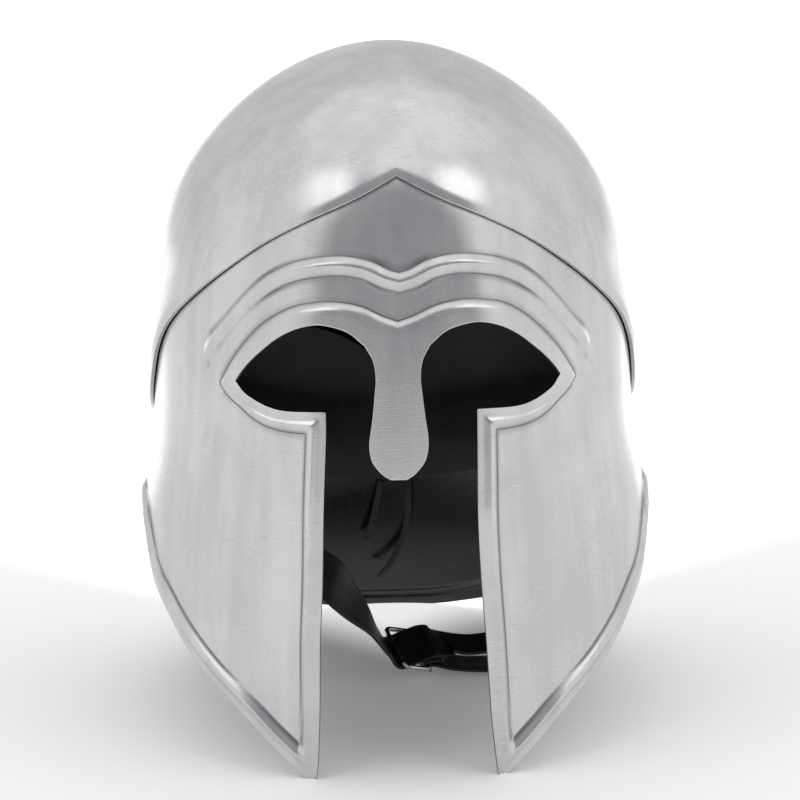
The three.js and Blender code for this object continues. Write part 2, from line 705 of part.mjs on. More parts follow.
function strapWithHole(table, hand) {
  const strap = toSolid(strapGeometry(table, STRAP_WIDTH, STRAP_THICKNESS));
  return toGeometry(strap.subtract(shankHole(hand)));
}

// A stud that holds the strap's end to the inside of the steel: shank outwards, head inwards.
function studGeometry(hand) {
  const angle = Math.asin(STUD_Y / SKULL_BACK) + Math.PI / 2;
  const steel = helmetForm(angle, STUD_HEIGHT, LAP_STEP + STEEL).x;
  const strapFace = STRAP_ANCHOR_X - STRAP_THICKNESS / 2 - CLEARANCE - STUD_SEAT;
  const shankTop = steel - 2 * CLEARANCE - strapFace;
  const profile = [
    [0, -STUD_HEAD_HEIGHT],
    [STUD_HEAD_RADIUS * 0.6, -STUD_HEAD_HEIGHT],
    [STUD_HEAD_RADIUS, -STUD_HEAD_HEIGHT * 0.4],
    [STUD_HEAD_RADIUS, 0],
    [STUD_SHANK_RADIUS, 0],
    [STUD_SHANK_RADIUS, shankTop],
    [0, shankTop],
  ].map(([r, h]) => new THREE.Vector2(r, h));
  const stud = new THREE.LatheGeometry(profile, 12);
  stud.rotateZ(-hand * Math.PI / 2);
  stud.translate(hand * strapFace, STUD_Y, STUD_HEIGHT);
  return stud;
}

// Buckle

function buckleFrameGeometry() {
  const along = BUCKLE_ALONG.clone().normalize();
  const across = BUCKLE_ACROSS.clone();
  across.addScaledVector(along, -across.dot(along)).normalize();
  const halfLength = BUCKLE_LENGTH / 2;
  const halfWidth = BUCKLE_WIDTH / 2;
  const loop = [];
  const cornerSteps = 3;
  const corners = [[1, 1, 0], [-1, 1, 1], [-1, -1, 2], [1, -1, 3]];
  for (const [u, v, quarter] of corners) {
    for (let i = 0; i <= cornerSteps; i += 1) {
      const turn = (Math.PI / 2) * (quarter + i / cornerSteps);
      const a = u * (halfLength - BUCKLE_CORNER) + BUCKLE_CORNER * Math.cos(turn);
      const b = v * (halfWidth - BUCKLE_CORNER) + BUCKLE_CORNER * Math.sin(turn);
      loop.push([a, b]);
    }
  }
  const face = new THREE.Vector3().crossVectors(along, across);
  const sides = 8;
  const positions = [];
  const faces = [];
  loop.forEach(([a, b], i) => {
    const before = loop[(i + loop.length - 1) % loop.length];
    const after = loop[(i + 1) % loop.length];
    const out = new THREE.Vector2(after[1] - before[1], before[0] - after[0]).normalize();
    for (let k = 0; k < sides; k += 1) {
      const turn = (2 * Math.PI * k) / sides;
      const point = BUCKLE_CENTRE.clone();
      point.addScaledVector(along, a + BUCKLE_WIRE * Math.cos(turn) * out.x);
      point.addScaledVector(across, b + BUCKLE_WIRE * Math.cos(turn) * out.y);
      point.addScaledVector(face, BUCKLE_WIRE * Math.sin(turn));
      positions.push(point.x, point.y, point.z);
      const next = (i + 1) % loop.length;
      const m = (k + 1) % sides;
      faces.push(i * sides + k, next * sides + k, next * sides + m);
      faces.push(i * sides + k, next * sides + m, i * sides + m);
    }
  });
  const geometry = new THREE.BufferGeometry();
  geometry.setAttribute('position', new THREE.Float32BufferAttribute(positions, 3));
  geometry.setIndex(faces);
  return geometry;
}

// Laces

function laceGeometry(table) {
  const section = new THREE.Shape();
  const sides = 8;
  for (let i = 0; i < sides; i += 1) {
    const turn = (2 * Math.PI * (i + 0.5)) / sides;
    const u = (LACE_WIDTH / 2) * Math.cos(turn);
    const v = (LACE_THICKNESS / 2) * Math.sin(turn);
    if (i === 0) section.moveTo(u, v);
    else section.lineTo(u, v);
  }
  section.closePath();
  const path = new THREE.CatmullRomCurve3(table.map((row) => new THREE.Vector3(row.x, row.y, row.z)));
  return new THREE.ExtrudeGeometry(section, { steps: 10, extrudePath: path });
}

// Assembly

const steel = { color: 0xc9cbce, roughness: 0.28, metalness: 1 };
const blackLeather = { color: 0x0d0d0e, roughness: 0.42, metalness: 0 };
const plainWire = { color: 0xb4b6b8, roughness: 0.3, metalness: 1 };

const worn = new THREE.Group();

function add(name, geometry, look) {
  const flat = geometry.index ? geometry.toNonIndexed() : geometry;
  flat.computeVertexNormals();
  const mesh = new THREE.Mesh(flat, new THREE.MeshStandardMaterial(look));
  mesh.name = name;
  worn.add(mesh);
}

add('skull', skullGeometry(), steel);
add('mask', maskGeometry(), steel);
add('liner', linerGeometry(), blackLeather);
add('lace_left', laceGeometry(LACE_LEFT), blackLeather);
add('lace_right', laceGeometry(LACE_RIGHT), blackLeather);
add('strap_long', strapWithHole(STRAP_LONG, -1), blackLeather);
add('strap_short', strapWithHole(STRAP_SHORT, 1), blackLeather);
add('buckle_frame', buckleFrameGeometry(), plainWire);
add('stud_left', studGeometry(-1), plainWire);
add('stud_right', studGeometry(1), plainWire);

// Leaned back so that the plane through the cheek tips and the neck edge is level at z = 0.
worn.rotation.x = -LEAN_ANGLE;
worn.position.set(0, -ORIGIN_Y, TIP_Y * Math.sin(LEAN_ANGLE));
const group = new THREE.Group();
group.add(worn);

export default group;
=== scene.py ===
# %% [markdown]
# # A steel helmet of the closed kind, with a leather liner and chin strap
#
# The helmet is two sheets of polished steel: a raised bowl for the skull, and one sheet for face
# and neck that the bowl laps over. A leather liner and a buckled strap sit inside it. A smooth
# metal skin like this could be sculpted or built from subdivided cages. Here every sheet is a
# formula instead: an oval section at each height, with ridges added from measured lines. That
# gives exact edges, even reflections, and the same sizes as the construction model.

import math

import bpy
import numpy as np
from mathutils import Matrix, Vector


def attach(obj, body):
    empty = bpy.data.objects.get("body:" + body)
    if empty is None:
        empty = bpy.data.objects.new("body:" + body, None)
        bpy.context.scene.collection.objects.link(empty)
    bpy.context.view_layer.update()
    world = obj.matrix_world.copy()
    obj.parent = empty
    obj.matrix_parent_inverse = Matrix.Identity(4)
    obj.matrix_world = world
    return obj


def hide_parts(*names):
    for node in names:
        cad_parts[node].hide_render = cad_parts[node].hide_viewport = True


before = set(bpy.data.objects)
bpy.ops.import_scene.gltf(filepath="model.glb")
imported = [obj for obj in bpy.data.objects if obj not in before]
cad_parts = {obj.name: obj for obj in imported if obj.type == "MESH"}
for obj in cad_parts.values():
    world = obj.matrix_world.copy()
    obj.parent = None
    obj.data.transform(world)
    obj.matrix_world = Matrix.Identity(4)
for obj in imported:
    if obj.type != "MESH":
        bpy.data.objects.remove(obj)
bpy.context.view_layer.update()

# %% [markdown]
# ## The frame that the helmet is drawn in
#
# The helmet is measured as it is worn, in millimetres, with its cheek tips at height zero. It
# stands leaned back on its two cheek tips and its neck guard. One small function carries every
# point from the worn pose to the floor, so that all formulas can stay upright and symmetrical.

# %% From the worn pose to the floor
TIP_Y = -100.0
NECK_EDGE_Y = 140.0
NECK_EDGE_HEIGHT = 38.0
ORIGIN_Y = 26.9
LEAN = math.atan(NECK_EDGE_HEIGHT / (NECK_EDGE_Y - TIP_Y))


def leaned(vectors):
    """Directions turned about X by the lean: y' = y cos + z sin, z' = z cos - y sin."""
    v = np.asarray(vectors, float)
    y = v[..., 1] * math.cos(LEAN) + v[..., 2] * math.sin(LEAN)
    z = v[..., 2] * math.cos(LEAN) - v[..., 1] * math.sin(LEAN)
    return np.stack([v[..., 0], y, z], -1)


def on_floor(points):
    """Points in millimetres as worn, turned by the lean, set on the floor and given in metres."""
    shift = np.array([0.0, -ORIGIN_Y, TIP_Y * math.sin(LEAN)])
    return (leaned(points) + shift) / 1000.0


# %% [markdown]
# ## The camera
#
# The photograph was taken from straight ahead with a long lens, a little from above. The camera's
# place was found by fitting the helmet's outline, so it is written here as distance, height
# angle, side angle, roll and focal length, all about a point in the middle of the face.

# %% Place the camera
CAMERA_DISTANCE = 1700.0
CAMERA_ABOVE = math.radians(5.0)
CAMERA_ASIDE = math.radians(-1.786)
CAMERA_ROLL = math.radians(1.152)
CAMERA_TARGET = np.array([3.113, 0.0, 145.456])
FOCAL_PIXELS = 3952.35
IMAGE_PIXELS = 800
SENSOR = 36.0

level = math.cos(CAMERA_ABOVE)
back = np.array([
    math.sin(CAMERA_ASIDE) * level,
    -math.cos(CAMERA_ASIDE) * level,
    math.sin(CAMERA_ABOVE),
])
right = np.cross(-back, [0.0, 0.0, 1.0])
right /= np.linalg.norm(right)
up = np.cross(right, -back)
rolled_right = right * math.cos(CAMERA_ROLL) - up * math.sin(CAMERA_ROLL)
rolled_up = right * math.sin(CAMERA_ROLL) + up * math.cos(CAMERA_ROLL)

camera_data = bpy.data.cameras.new("camera")
camera_data.sensor_width = SENSOR
camera_data.lens = FOCAL_PIXELS / IMAGE_PIXELS * SENSOR
camera_data.clip_start = 0.1
camera_data.clip_end = 60.0
camera = bpy.data.objects.new("camera", camera_data)
bpy.context.scene.collection.objects.link(camera)
axes = leaned(np.stack([rolled_right, rolled_up, back]))
place = Matrix(axes.T.tolist()).to_4x4()
place.translation = Vector(on_floor(CAMERA_TARGET + CAMERA_DISTANCE * back))
camera.matrix_world = place
bpy.context.scene.camera = camera
print("camera at", [round(v, 3) for v in place.translation], "lens", round(camera_data.lens, 1))

# %% [markdown]
# ## Leather laces
#
# The liner's drawstring comes out under its lower edge at the nape, in two flat leather ends.
# They hang limp. A cord is a profile carried along a path: each row of the route is a place, and a
# smooth curve runs through them.


# %% Curves through rows of points
def through(points, steps, even=False):
    """A smooth path through points: between two points a cubic whose end slopes come from the
    neighbours, weighted by the square root of their distances, or evenly for directions."""
    p = np.asarray(points, float)
    p = np.vstack([2 * p[0] - p[1], p, 2 * p[-1] - p[-2]])
    gap = np.linalg.norm(np.diff(p, axis=0), axis=1) ** 0.5
    if even:
        gap = np.ones_like(gap)
    before, here, after = gap[:-2, None], gap[1:-1, None], gap[2:, None]
    p0, p1, p2, p3 = p[:-3], p[1:-2], p[2:-1], p[3:]
    slope1 = ((p1 - p0) / before - (p2 - p0) / (before + here) + (p2 - p1) / here) * here
    slope2 = ((p2 - p1) / here - (p3 - p1) / (here + after) + (p3 - p2) / after) * here
    t = np.arange(steps)[:, None, None] / steps
    path = (
        (2 * t**3 - 3 * t**2 + 1) * p1
        + (t**3 - 2 * t**2 + t) * slope1
        + (3 * t**2 - 2 * t**3) * p2
        + (t**3 - t**2) * slope2
    )
    path = path.transpose(1, 0, 2).reshape(-1, p.shape[1])
    return np.vstack([path, p[-2]])


def length_of(path):
    """The running length along a path: the sum of its short chords."""
    return np.concatenate([[0.0], np.cumsum(np.linalg.norm(np.diff(path, axis=0), axis=1))])


def unit(vectors):
    """Vectors divided by their lengths."""
    return vectors / np.maximum(np.linalg.norm(vectors, axis=-1, keepdims=True), 1e-9)


# %% Turn numbers into an object
def new_piece(name, points, faces, node, materials, index=None):
    """A mesh object on the floor frame from points as worn, which stands for a CAD node. What
    would reach under the floor, at the very tips of the cheeks, is worn flat."""
    mesh = bpy.data.meshes.new(name)
    places = on_floor(points)
    places[:, 2] = np.maximum(places[:, 2], 0.0)
    mesh.from_pydata(places.tolist(), [], faces)
    mesh.polygons.foreach_set("use_smooth", np.ones(len(mesh.polygons), bool))
    for material in materials:
        mesh.materials.append(material)
    if index is not None:
        mesh.polygons.foreach_set("material_index", np.asarray(index, np.int32))
    mesh.update()
    piece = bpy.data.objects.new(name, mesh)
    bpy.context.scene.collection.objects.link(piece)
    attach(piece, "root")
    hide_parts(*node)
    print(name, len(mesh.vertices), "points", len(mesh.polygons), "faces")
    return piece


def tube_faces(rings, sides, closed):
    """Quads between neighbouring rings of a tube, with both ends capped where it is open."""
    ring = np.arange(rings if closed else rings - 1)
    side = np.arange(sides)
    a, k = np.meshgrid(ring, side, indexing="ij")
    b, m = (a + 1) % rings, (k + 1) % sides
    quads = np.stack([a * sides + k, a * sides + m, b * sides + m, b * sides + k], -1)
    faces = quads.reshape(-1, 4).tolist()
    if not closed:
        faces.append(list(range(sides))[::-1])
        faces.append([(rings - 1) * sides + i for i in range(sides)])
    return faces


def carried(path, across, profile):
    """A profile (u across, v along the face's normal) carried along a path: each ring is the
    path's point plus u times the width's direction plus v times the face's normal."""
    along = unit(np.gradient(path, axis=0))
    side = unit(across - along * np.sum(across * along, 1, keepdims=True))
    normal = np.cross(side, along)
    u, v = profile[..., 0], profile[..., 1]
    if u.ndim == 1:
        u, v = np.tile(u, (len(path), 1)), np.tile(v, (len(path), 1))
    return path[:, None] + u[..., None] * side[:, None] + v[..., None] * normal[:, None]


# %% [markdown]
# ## Materials
#
# The steel is polished by hand on a wheel: bright, with a fine grain and soft clouds where the
# sheet was planished, and with painted shade that darkens it in the creases and along the skull's
# rim. Its inside is sprayed black, which is smooth and glossy with a little orange peel. The
# leather is dyed black and lightly glazed. The painted shade is a value stored at each point of the
# mask; all other patterns come from noise on the object's own coordinates, so they stay on the
# metal from every side.


# %% Helpers for shader nodes
def new_material(name):
    """A material with an empty tree but for its shader and its output."""
    material = bpy.data.materials.new(name)
    material.use_nodes = True
    tree = material.node_tree
    return material, tree, tree.nodes["Principled BSDF"]


def node(tree, kind, inputs=None, **settings):
    """A node with its settings and the values or links of its inputs."""
    made = tree.nodes.new(kind)
    for key, value in settings.items():
        setattr(made, key, value)
    for key, value in (inputs or {}).items():
        if isinstance(value, bpy.types.NodeSocket):
            tree.links.new(value, made.inputs[key])
        else:
            made.inputs[key].default_value = value
    return made


def stretched(tree, scale=(1, 1, 1)):
    """Object coordinates multiplied by a scale on each axis, which sets a grain's length."""
    source = node(tree, "ShaderNodeTexCoord").outputs["Object"]
    return node(tree, "ShaderNodeMapping", {"Vector": source, "Scale": scale}).outputs["Vector"]


def noise(tree, vector, scale, detail=3.0, rough=0.55):
    """Cloudy noise from 0 to 1, with its size in waves per metre."""
    inputs = {"Vector": vector, "Scale": scale, "Detail": detail, "Roughness": rough}
    return node(tree, "ShaderNodeTexNoise", inputs).outputs["Fac"]


def spread(tree, value, low, high, to_low, to_high, kind="SMOOTHSTEP"):
    """A value taken from one range to another, held at the ends."""
    inputs = {0: value, 1: low, 2: high, 3: to_low, 4: to_high}
    return node(tree, "ShaderNodeMapRange", inputs, interpolation_type=kind).outputs[0]


def math_node(tree, operation, *values):
    """One sum of shader arithmetic."""
    return node(tree, "ShaderNodeMath", dict(enumerate(values)), operation=operation).outputs[0]


def blended(tree, factor, a, b, kind="MIX"):
    """Two colours mixed by a factor."""
    inputs = {"Factor": factor, 6: a, 7: b}
    mixer = node(tree, "ShaderNodeMix", inputs, data_type="RGBA", blend_type=kind)
    return mixer.outputs[2]


def bumped(tree, height, distance, strength=1.0, below=None):
    """A bump of a height in metres, laid over another one."""
    inputs = {"Height": height, "Distance": distance, "Strength": strength}
    if below is not None:
        inputs["Normal"] = below
    return node(tree, "ShaderNodeBump", inputs).outputs["Normal"]


# %% Polished steel, black inside paint, leather and wire
def polished_steel():
    """Bright steel. Clouds of tone and upright streaks come from rolling and planishing, short
    level scratches from the polishing wheel, specks from pits, and painted shade from the crease
    value, darker in the creases and along the skull's rim."""
    material, tree, shader = new_material("polished_steel")
    plain = stretched(tree)
    clouds = noise(tree, plain, 26, 4, 0.6)
    streaks = noise(tree, stretched(tree, (70, 70, 5)), 1, 3, 0.6)
    scratches = noise(tree, stretched(tree, (260, 260, 2100)), 1, 3, 0.65)
    patches = noise(tree, plain, 45, 2, 0.5)
    specks = noise(tree, plain, 1500, 2, 0.7)
    crease = node(tree, "ShaderNodeAttribute", attribute_name="crease").outputs["Fac"]
    tone = math_node(tree, "MULTIPLY_ADD", streaks, 0.9, math_node(tree, "MULTIPLY", clouds, 0.6))
    tone = spread(tree, tone, 0.55, 0.95, 0.0, 1.0)
    colour = blended(tree, tone, (0.54, 0.54, 0.55, 1), (0.64, 0.64, 0.642, 1))
    marked = spread(tree, patches, 0.4, 0.65, 0.15, 1.0)
    dark = math_node(tree, "MULTIPLY", spread(tree, scratches, 0.57, 0.72, 0.0, 0.5), marked)
    light = math_node(tree, "MULTIPLY", spread(tree, scratches, 0.43, 0.30, 0.0, 0.45), marked)
    colour = blended(tree, dark, colour, (0.38, 0.38, 0.39, 1))
    colour = blended(tree, light, colour, (0.80, 0.80, 0.80, 1))
    pits = spread(tree, specks, 0.60, 0.78, 0.0, 0.4)
    colour = blended(tree, pits, colour, (0.34, 0.34, 0.35, 1))
    # Painted shade: the crease value darkens the colour in the creases and along the skull's rim.
    colour = blended(tree, crease, colour, (0.14, 0.14, 0.145, 1))
    tree.links.new(colour, shader.inputs["Base Color"])
    gloss = spread(tree, clouds, 0.3, 0.7, 0.25, 0.19)
    gloss = math_node(tree, "MULTIPLY_ADD", dark, 0.3, gloss)
    gloss = math_node(tree, "MULTIPLY_ADD", crease, 0.2, gloss)
    tree.links.new(gloss, shader.inputs["Roughness"])
    shader.inputs["Metallic"].default_value = 1.0
    normal = bumped(tree, noise(tree, plain, 30, 1, 0.4), 0.0010, 0.3)
    normal = bumped(tree, scratches, 0.00003, 0.6, normal)
    tree.links.new(normal, shader.inputs["Normal"])
    return material


def inside_paint():
    """Black gloss paint, with the slight orange peel of a spray can."""
    material, tree, shader = new_material("inside_paint")
    plain = stretched(tree)
    peel = noise(tree, plain, 380, 2, 0.5)
    dust = noise(tree, plain, 1500, 1, 0.5)
    dusty = spread(tree, dust, 0.66, 0.8, 0, 0.6)
    colour = blended(tree, dusty, (0.004, 0.004, 0.0045, 1), (0.03, 0.03, 0.03, 1))
    tree.links.new(colour, shader.inputs["Base Color"])
    tree.links.new(spread(tree, peel, 0.3, 0.7, 0.16, 0.26), shader.inputs["Roughness"])
    tree.links.new(bumped(tree, peel, 0.0002, 0.4), shader.inputs["Normal"])
    return material


def black_leather(name, low, high, gloss):
    """Dyed leather: a pebbled grain from cells, with patches of tone, gloss and height from
    noise, as glazing leaves them."""
    material, tree, shader = new_material(name)
    plain = stretched(tree)
    grain = {"Vector": plain, "Scale": 900.0}
    cells = node(tree, "ShaderNodeTexVoronoi", grain, feature="DISTANCE_TO_EDGE")
    pebbles = spread(tree, cells.outputs["Distance"], 0.0, 0.12, 0.0, 1.0)
    patches = noise(tree, plain, 60, 4, 0.6)
    colour = blended(tree, spread(tree, patches, 0.35, 0.7, 0, 1), low, high)
    tree.links.new(colour, shader.inputs["Base Color"])
    tree.links.new(spread(tree, patches, 0.3, 0.7, gloss, gloss + 0.12), shader.inputs["Roughness"])
    normal = bumped(tree, pebbles, 0.00012, 0.5)
    tree.links.new(bumped(tree, patches, 0.001, 0.3, normal), shader.inputs["Normal"])
    return material


def plated_wire():
    """Nickel plated wire, slightly dull from handling."""
    material, tree, shader = new_material("plated_wire")
    plain = stretched(tree)
    rubbed = noise(tree, plain, 500, 3, 0.6)
    colour = blended(tree, rubbed, (0.5, 0.5, 0.5, 1), (0.72, 0.72, 0.71, 1))
    tree.links.new(colour, shader.inputs["Base Color"])
    tree.links.new(spread(tree, rubbed, 0.3, 0.7, 0.18, 0.32), shader.inputs["Roughness"])
    tree.links.new(bumped(tree, rubbed, 0.00004, 0.6), shader.inputs["Normal"])
    shader.inputs["Metallic"].default_value = 1.0
    return material


STEEL = polished_steel()
PAINT = inside_paint()
LINER_LEATHER = black_leather(
    "liner_leather", (0.006, 0.006, 0.0065, 1), (0.014, 0.014, 0.015, 1), gloss=0.38,
)
STRAP_LEATHER = black_leather(
    "strap_leather", (0.008, 0.008, 0.0085, 1), (0.018, 0.018, 0.02, 1), gloss=0.3,
)
WIRE = plated_wire()
print("materials", [m.name for m in bpy.data.materials])

# %% [markdown]
# Each lace is a flat strip with rounded edges. Its section is a rounded rectangle, carried along a
# route that was chosen to follow the photograph.

# %% Make the laces
LACE_WIDTH = 3.0
LACE_THICKNESS = 1.2
LACE_SQUARENESS = 0.55
LACE_SIDES = 16
LACE_STEPS = 8
LACE_ROUTES = {
    "lace_left": [
        (-3, 114.8, 99.1), (-4.2, 115, 92), (-6.2, 115.8, 83), (-8.2, 117, 75.5), (-10.1, 118, 70),
    ],
    "lace_right": [
        (9.8, 114.8, 99.5), (9.8, 115, 91.5), (9.2, 116, 82), (7.8, 117, 74.5), (5.3, 118, 68),
        (0.7, 119.5, 59), (-4.5, 121, 52.5),
    ],
}


def flat_profile(width, thickness, sides, squareness):
    """A rounded strip's section: the cosine and sine of an angle raised to a small power."""
    turn = 2 * np.pi * (np.arange(sides) + 0.5) / sides
    c, s = np.cos(turn), np.sin(turn)
    u = np.sign(c) * np.abs(c) ** squareness * width / 2
    v = np.sign(s) * np.abs(s) ** squareness * thickness / 2
    return np.stack([u, v], -1)


for lace_name, route in LACE_ROUTES.items():
    lace_path = through(route, LACE_STEPS)
    strip = flat_profile(LACE_WIDTH, LACE_THICKNESS, LACE_SIDES, LACE_SQUARENESS)
    lace_across = np.tile([1.0, 0.0, 0.0], (len(lace_path), 1))
    lace_points = carried(lace_path, lace_across, strip)
    lace = new_piece(
        lace_name + "_leather", lace_points.reshape(-1, 3),
        tube_faces(len(lace_path), LACE_SIDES, False), [lace_name],
        [STRAP_LEATHER],
    )

# %% [markdown]
# ## The form of the helmet
#
# A smith raises the bowl and bends the mask to one common form. It is an oval at each height:
# widest at the temples, domed above, pulled in at the nape and flared at the neck. Places on the
# metal are named by two numbers: s, the distance round from the middle of the face, and z, the
# height. The lines of the face were measured in these two numbers, so they stay the same line
# whatever is done to the form under them.

# %% The oval sections
SKULL_HALF_WIDTH = 105.2
SKULL_FRONT = 122.6
SKULL_BACK = 126.0
WIDEST_HEIGHT = 182.0
DOME_HEIGHT = 118.0
DOME_TOP = WIDEST_HEIGHT + DOME_HEIGHT
DOME_POINT = 0.08
BROW_BULGE = 0.12
CHEEK_LEAN = 14.0
SIDE_NARROWING = 0.6
SIDE_NARROWING_LENGTH = 30.0
SIDE_FLARE = 5.2
SIDE_FLARE_START = 28.0
SIDE_FLARE_LENGTH = 55.0
NAPE_HOLLOW = 8.0
NAPE_HOLLOW_LENGTH = 70.0
NECK_FLARE = 21.3
NECK_FLARE_START = 62.0
NECK_FLARE_LENGTH = 75.0
NECK_FLARE_POWER = 1.6
STEEL_THICKNESS = 1.3
LAP_STEP = 2.6


def smooth(t):
    """An S curve from 0 to 1: three t squared less two t cubed."""
    c = np.clip(t, 0, 1)
    return c * c * (3 - 2 * c)


def helmet_form(angle, z, inset):
    """An oval section at height z: half a width times the sine of the angle, and half a depth
    times its cosine. Above the widest height both shrink as an ellipse does, with a bulge at the
    brow. Below it the front leans in, the sides flare a little and the back flares for the neck."""
    t = np.clip((z - WIDEST_HEIGHT) / DOME_HEIGHT, 0, 1)
    shrink = np.sqrt(1 - t * t) * (1 - DOME_POINT * t**4)
    bulge = 1 + BROW_BULGE * 4 * t * t * (1 - t * t)
    below = np.maximum(WIDEST_HEIGHT - z, 0)
    lean = -CHEEK_LEAN * (below / WIDEST_HEIGHT) ** 2
    side = SIDE_FLARE * smooth((below - SIDE_FLARE_START) / SIDE_FLARE_LENGTH)
    side = side - SIDE_NARROWING * smooth(below / SIDE_NARROWING_LENGTH)
    neck = np.maximum((below - NECK_FLARE_START) / NECK_FLARE_LENGTH, 0) ** NECK_FLARE_POWER
    nape = NECK_FLARE * neck - NAPE_HOLLOW * smooth(below / NAPE_HOLLOW_LENGTH)
    c, s = np.cos(angle), np.sin(angle)
    out = np.where(c > 0, lean, nape) * c * c + side * s * s - inset
    depth = np.where(c > 0, SKULL_FRONT * shrink * bulge, SKULL_BACK * shrink)
    return np.stack([(SKULL_HALF_WIDTH * shrink + out) * s, -(depth + out) * c, z + 0 * c], -1)


SECTION_HEIGHT = 170.0
SECTION_POINTS = 1441
section_angles = np.linspace(0, np.pi, SECTION_POINTS)
section_heights = np.full(SECTION_POINTS, SECTION_HEIGHT)
section_length = length_of(helmet_form(section_angles, section_heights, LAP_STEP))
HALF_ROUND = section_length[-1]
print("half way round at eye level", round(HALF_ROUND, 1), "mm")


def angle_at(s):
    """The angle whose running length round the eye-level section is s."""
    return np.sign(s) * np.interp(np.abs(s), section_length, section_angles)


def raised(s, z, inset, height):
    """A point of the form, moved along its normal by a height. The normal is the cross product
    of a short step round and a short step up."""
    s, z, height = np.broadcast_arrays(np.asarray(s, float), z, height)
    angle = angle_at(s)
    step = np.minimum(0.05, (DOME_TOP - z) / 2)
    point = helmet_form(angle, z, inset)
    around = helmet_form(angle + 1e-4, z, inset) - helmet_form(angle - 1e-4, z, inset)
    rise = helmet_form(angle, z + step, inset) - helmet_form(angle, z - step, inset)
    normal = np.cross(around, rise)
    size = np.linalg.norm(normal, axis=-1, keepdims=True)
    normal = np.where(size > 1e-12, normal / np.maximum(size, 1e-12), [0.0, 0.0, 1.0])
    return point + height[..., None] * normal


# %% [markdown]
# The lines of the face were read from the photograph through the fitted camera, and are written
# as places on the metal. Each has only the rows that its shape needs, and a smooth curve runs
# through them. Tables named by height give s for each z, and the others z for each s.

# %% The measured lines of the face, as s and z in millimetres
EYE_START, EYE_END = 13.0, 73.0
EYE_START_HEIGHT = 178.0
CHEEK_START, CHEEK_TOP = 31.0, 151.0
CHEEK_END, CHEEK_BOTTOM = 43.8, -3.0
SKULL_RIM = [
    (0, 246), (20, 236.5), (40, 228.5), (60, 219.5), (80, 208.5), (100, 197.5), (116, 189),
    (128, 182), (142, 172), (155, 161), (170, 151.5), (190, 143), (215, 138), (250, 135),
    (300, 134), (360, 134),
]
UPPER_RIDGE_CREST = [
    (0, 203.2), (6, 205), (13, 208.3), (21, 210), (29, 210.2), (37, 209.4), (45, 207.8),
    (54, 204.5), (63, 199), (72, 191.5), (80, 184.5), (88, 178), (96, 170.5),
]
LOWER_RIDGE_CREASE = [
    (0, 187.5), (7, 190), (14, 193.3), (21, 195), (29, 195.6), (37, 195), (43, 194),
    (50, 191.5), (59, 186.7), (68, 179.5), (76, 171.5), (83, 163),
]
EYE_UPPER = [
    (13, 178), (19.5, 183.3), (26.5, 185.7), (33, 186.5), (41.5, 185), (50, 181.4), (58.5, 175.8),
    (66, 170), (73, 163),
]
EYE_LOWER = [
    (31, 151), (40, 151), (47, 151.1), (53, 151.8), (59, 153.5), (64, 155.6), (69.5, 158.7),
    (73, 163),
]
EYE_CREASE = [
    (40, 142.3), (46.5, 142.7), (53, 143.5), (59, 145), (65, 147.5), (72, 152), (80, 157),
    (84, 161.5),
]
TIP_CREASE = (49.5, 14.0)
MIDDLE_LINE = [
    (73, 163), (83, 160.5), (97, 157.2), (114, 152.5), (134, 147.5), (156, 140.5), (180, 134),
    (207, 128), (238, 123), (291, 119), (360, 117),
]
CHEEK_INNER_BY_HEIGHT = [
    (-3, 43.8), (12, 40.8), (26, 38.6), (57, 35.4), (82, 32.8), (106, 31.2), (130, 31), (151, 31),
]
BOTTOM_EDGE = [
    (43.8, -3), (61, 12), (76.5, 25.5), (94.5, 38.5), (111, 51.5), (127, 65), (141, 75),
    (149, 84), (156, 94), (163, 101), (172, 105.3), (182, 105.6), (195, 101), (215, 87.5),
    (240, 72), (270, 57), (300, 45), (330, 38.2), (345, 37.2), (360, 37.1),
]
NASAL_HALF_WIDTH_BY_HEIGHT = [
    (124.2, 2.5), (125.3, 4.6), (128, 7.6), (132, 10.4), (139, 11.6), (150, 10.3), (158, 9.4),
    (165, 8.8), (172, 9.8), (178, 13),
]
LEFT_GAP_SHIFT = [
    (-3, 0), (6, 0), (16.5, 0.6), (27, 1.05), (38, 1.4), (59, 2), (77, 2.15), (100, 2.35),
    (111.5, 2.1), (126, 1.2), (136, 0.5), (145, 0), (160, 0),
]
EYE_BAND_SHIFT = [
    (-75, 0), (-40, -0.2), (-14, -0.9), (0, -1), (14, -1.6), (40, -1.8), (60, -1.8), (73, -1.1),
    (95, 0),
]
LINER_LOWER_EDGE = [
    (0, 193), (40, 190), (80, 172.5), (110, 157), (150, 141), (200, 129), (250, 115),
    (300, 105.5), (330, 101), (360, 99.5),
]


def curve(table):
    """A smooth curve through a table: a cubic between two rows, whose end slopes are those of
    the chords over each row's two neighbours, and straight on past the ends."""
    x, y = np.array(table, float).T
    rows = np.arange(len(x))
    first, last = np.maximum(rows - 1, 0), np.minimum(rows + 1, len(x) - 1)
    slope = (y[last] - y[first]) / (x[last] - x[first])

    def at(s):
        s = np.asarray(s, float)
        i = np.clip(np.searchsorted(x, s, side="right") - 1, 0, len(x) - 2)
        step = x[i + 1] - x[i]
        t = np.clip((s - x[i]) / step, 0, 1)
        inside = (
            (2 * t**3 - 3 * t**2 + 1) * y[i]
            + (t**3 - 2 * t**2 + t) * step * slope[i]
            + (3 * t**2 - 2 * t**3) * y[i + 1]
            + (t**3 - t**2) * step * slope[i + 1]
        )
        past = np.where(s < x[0], slope[0] * (s - x[0]), slope[-1] * np.maximum(s - x[-1], 0))
        return inside + past

    return at


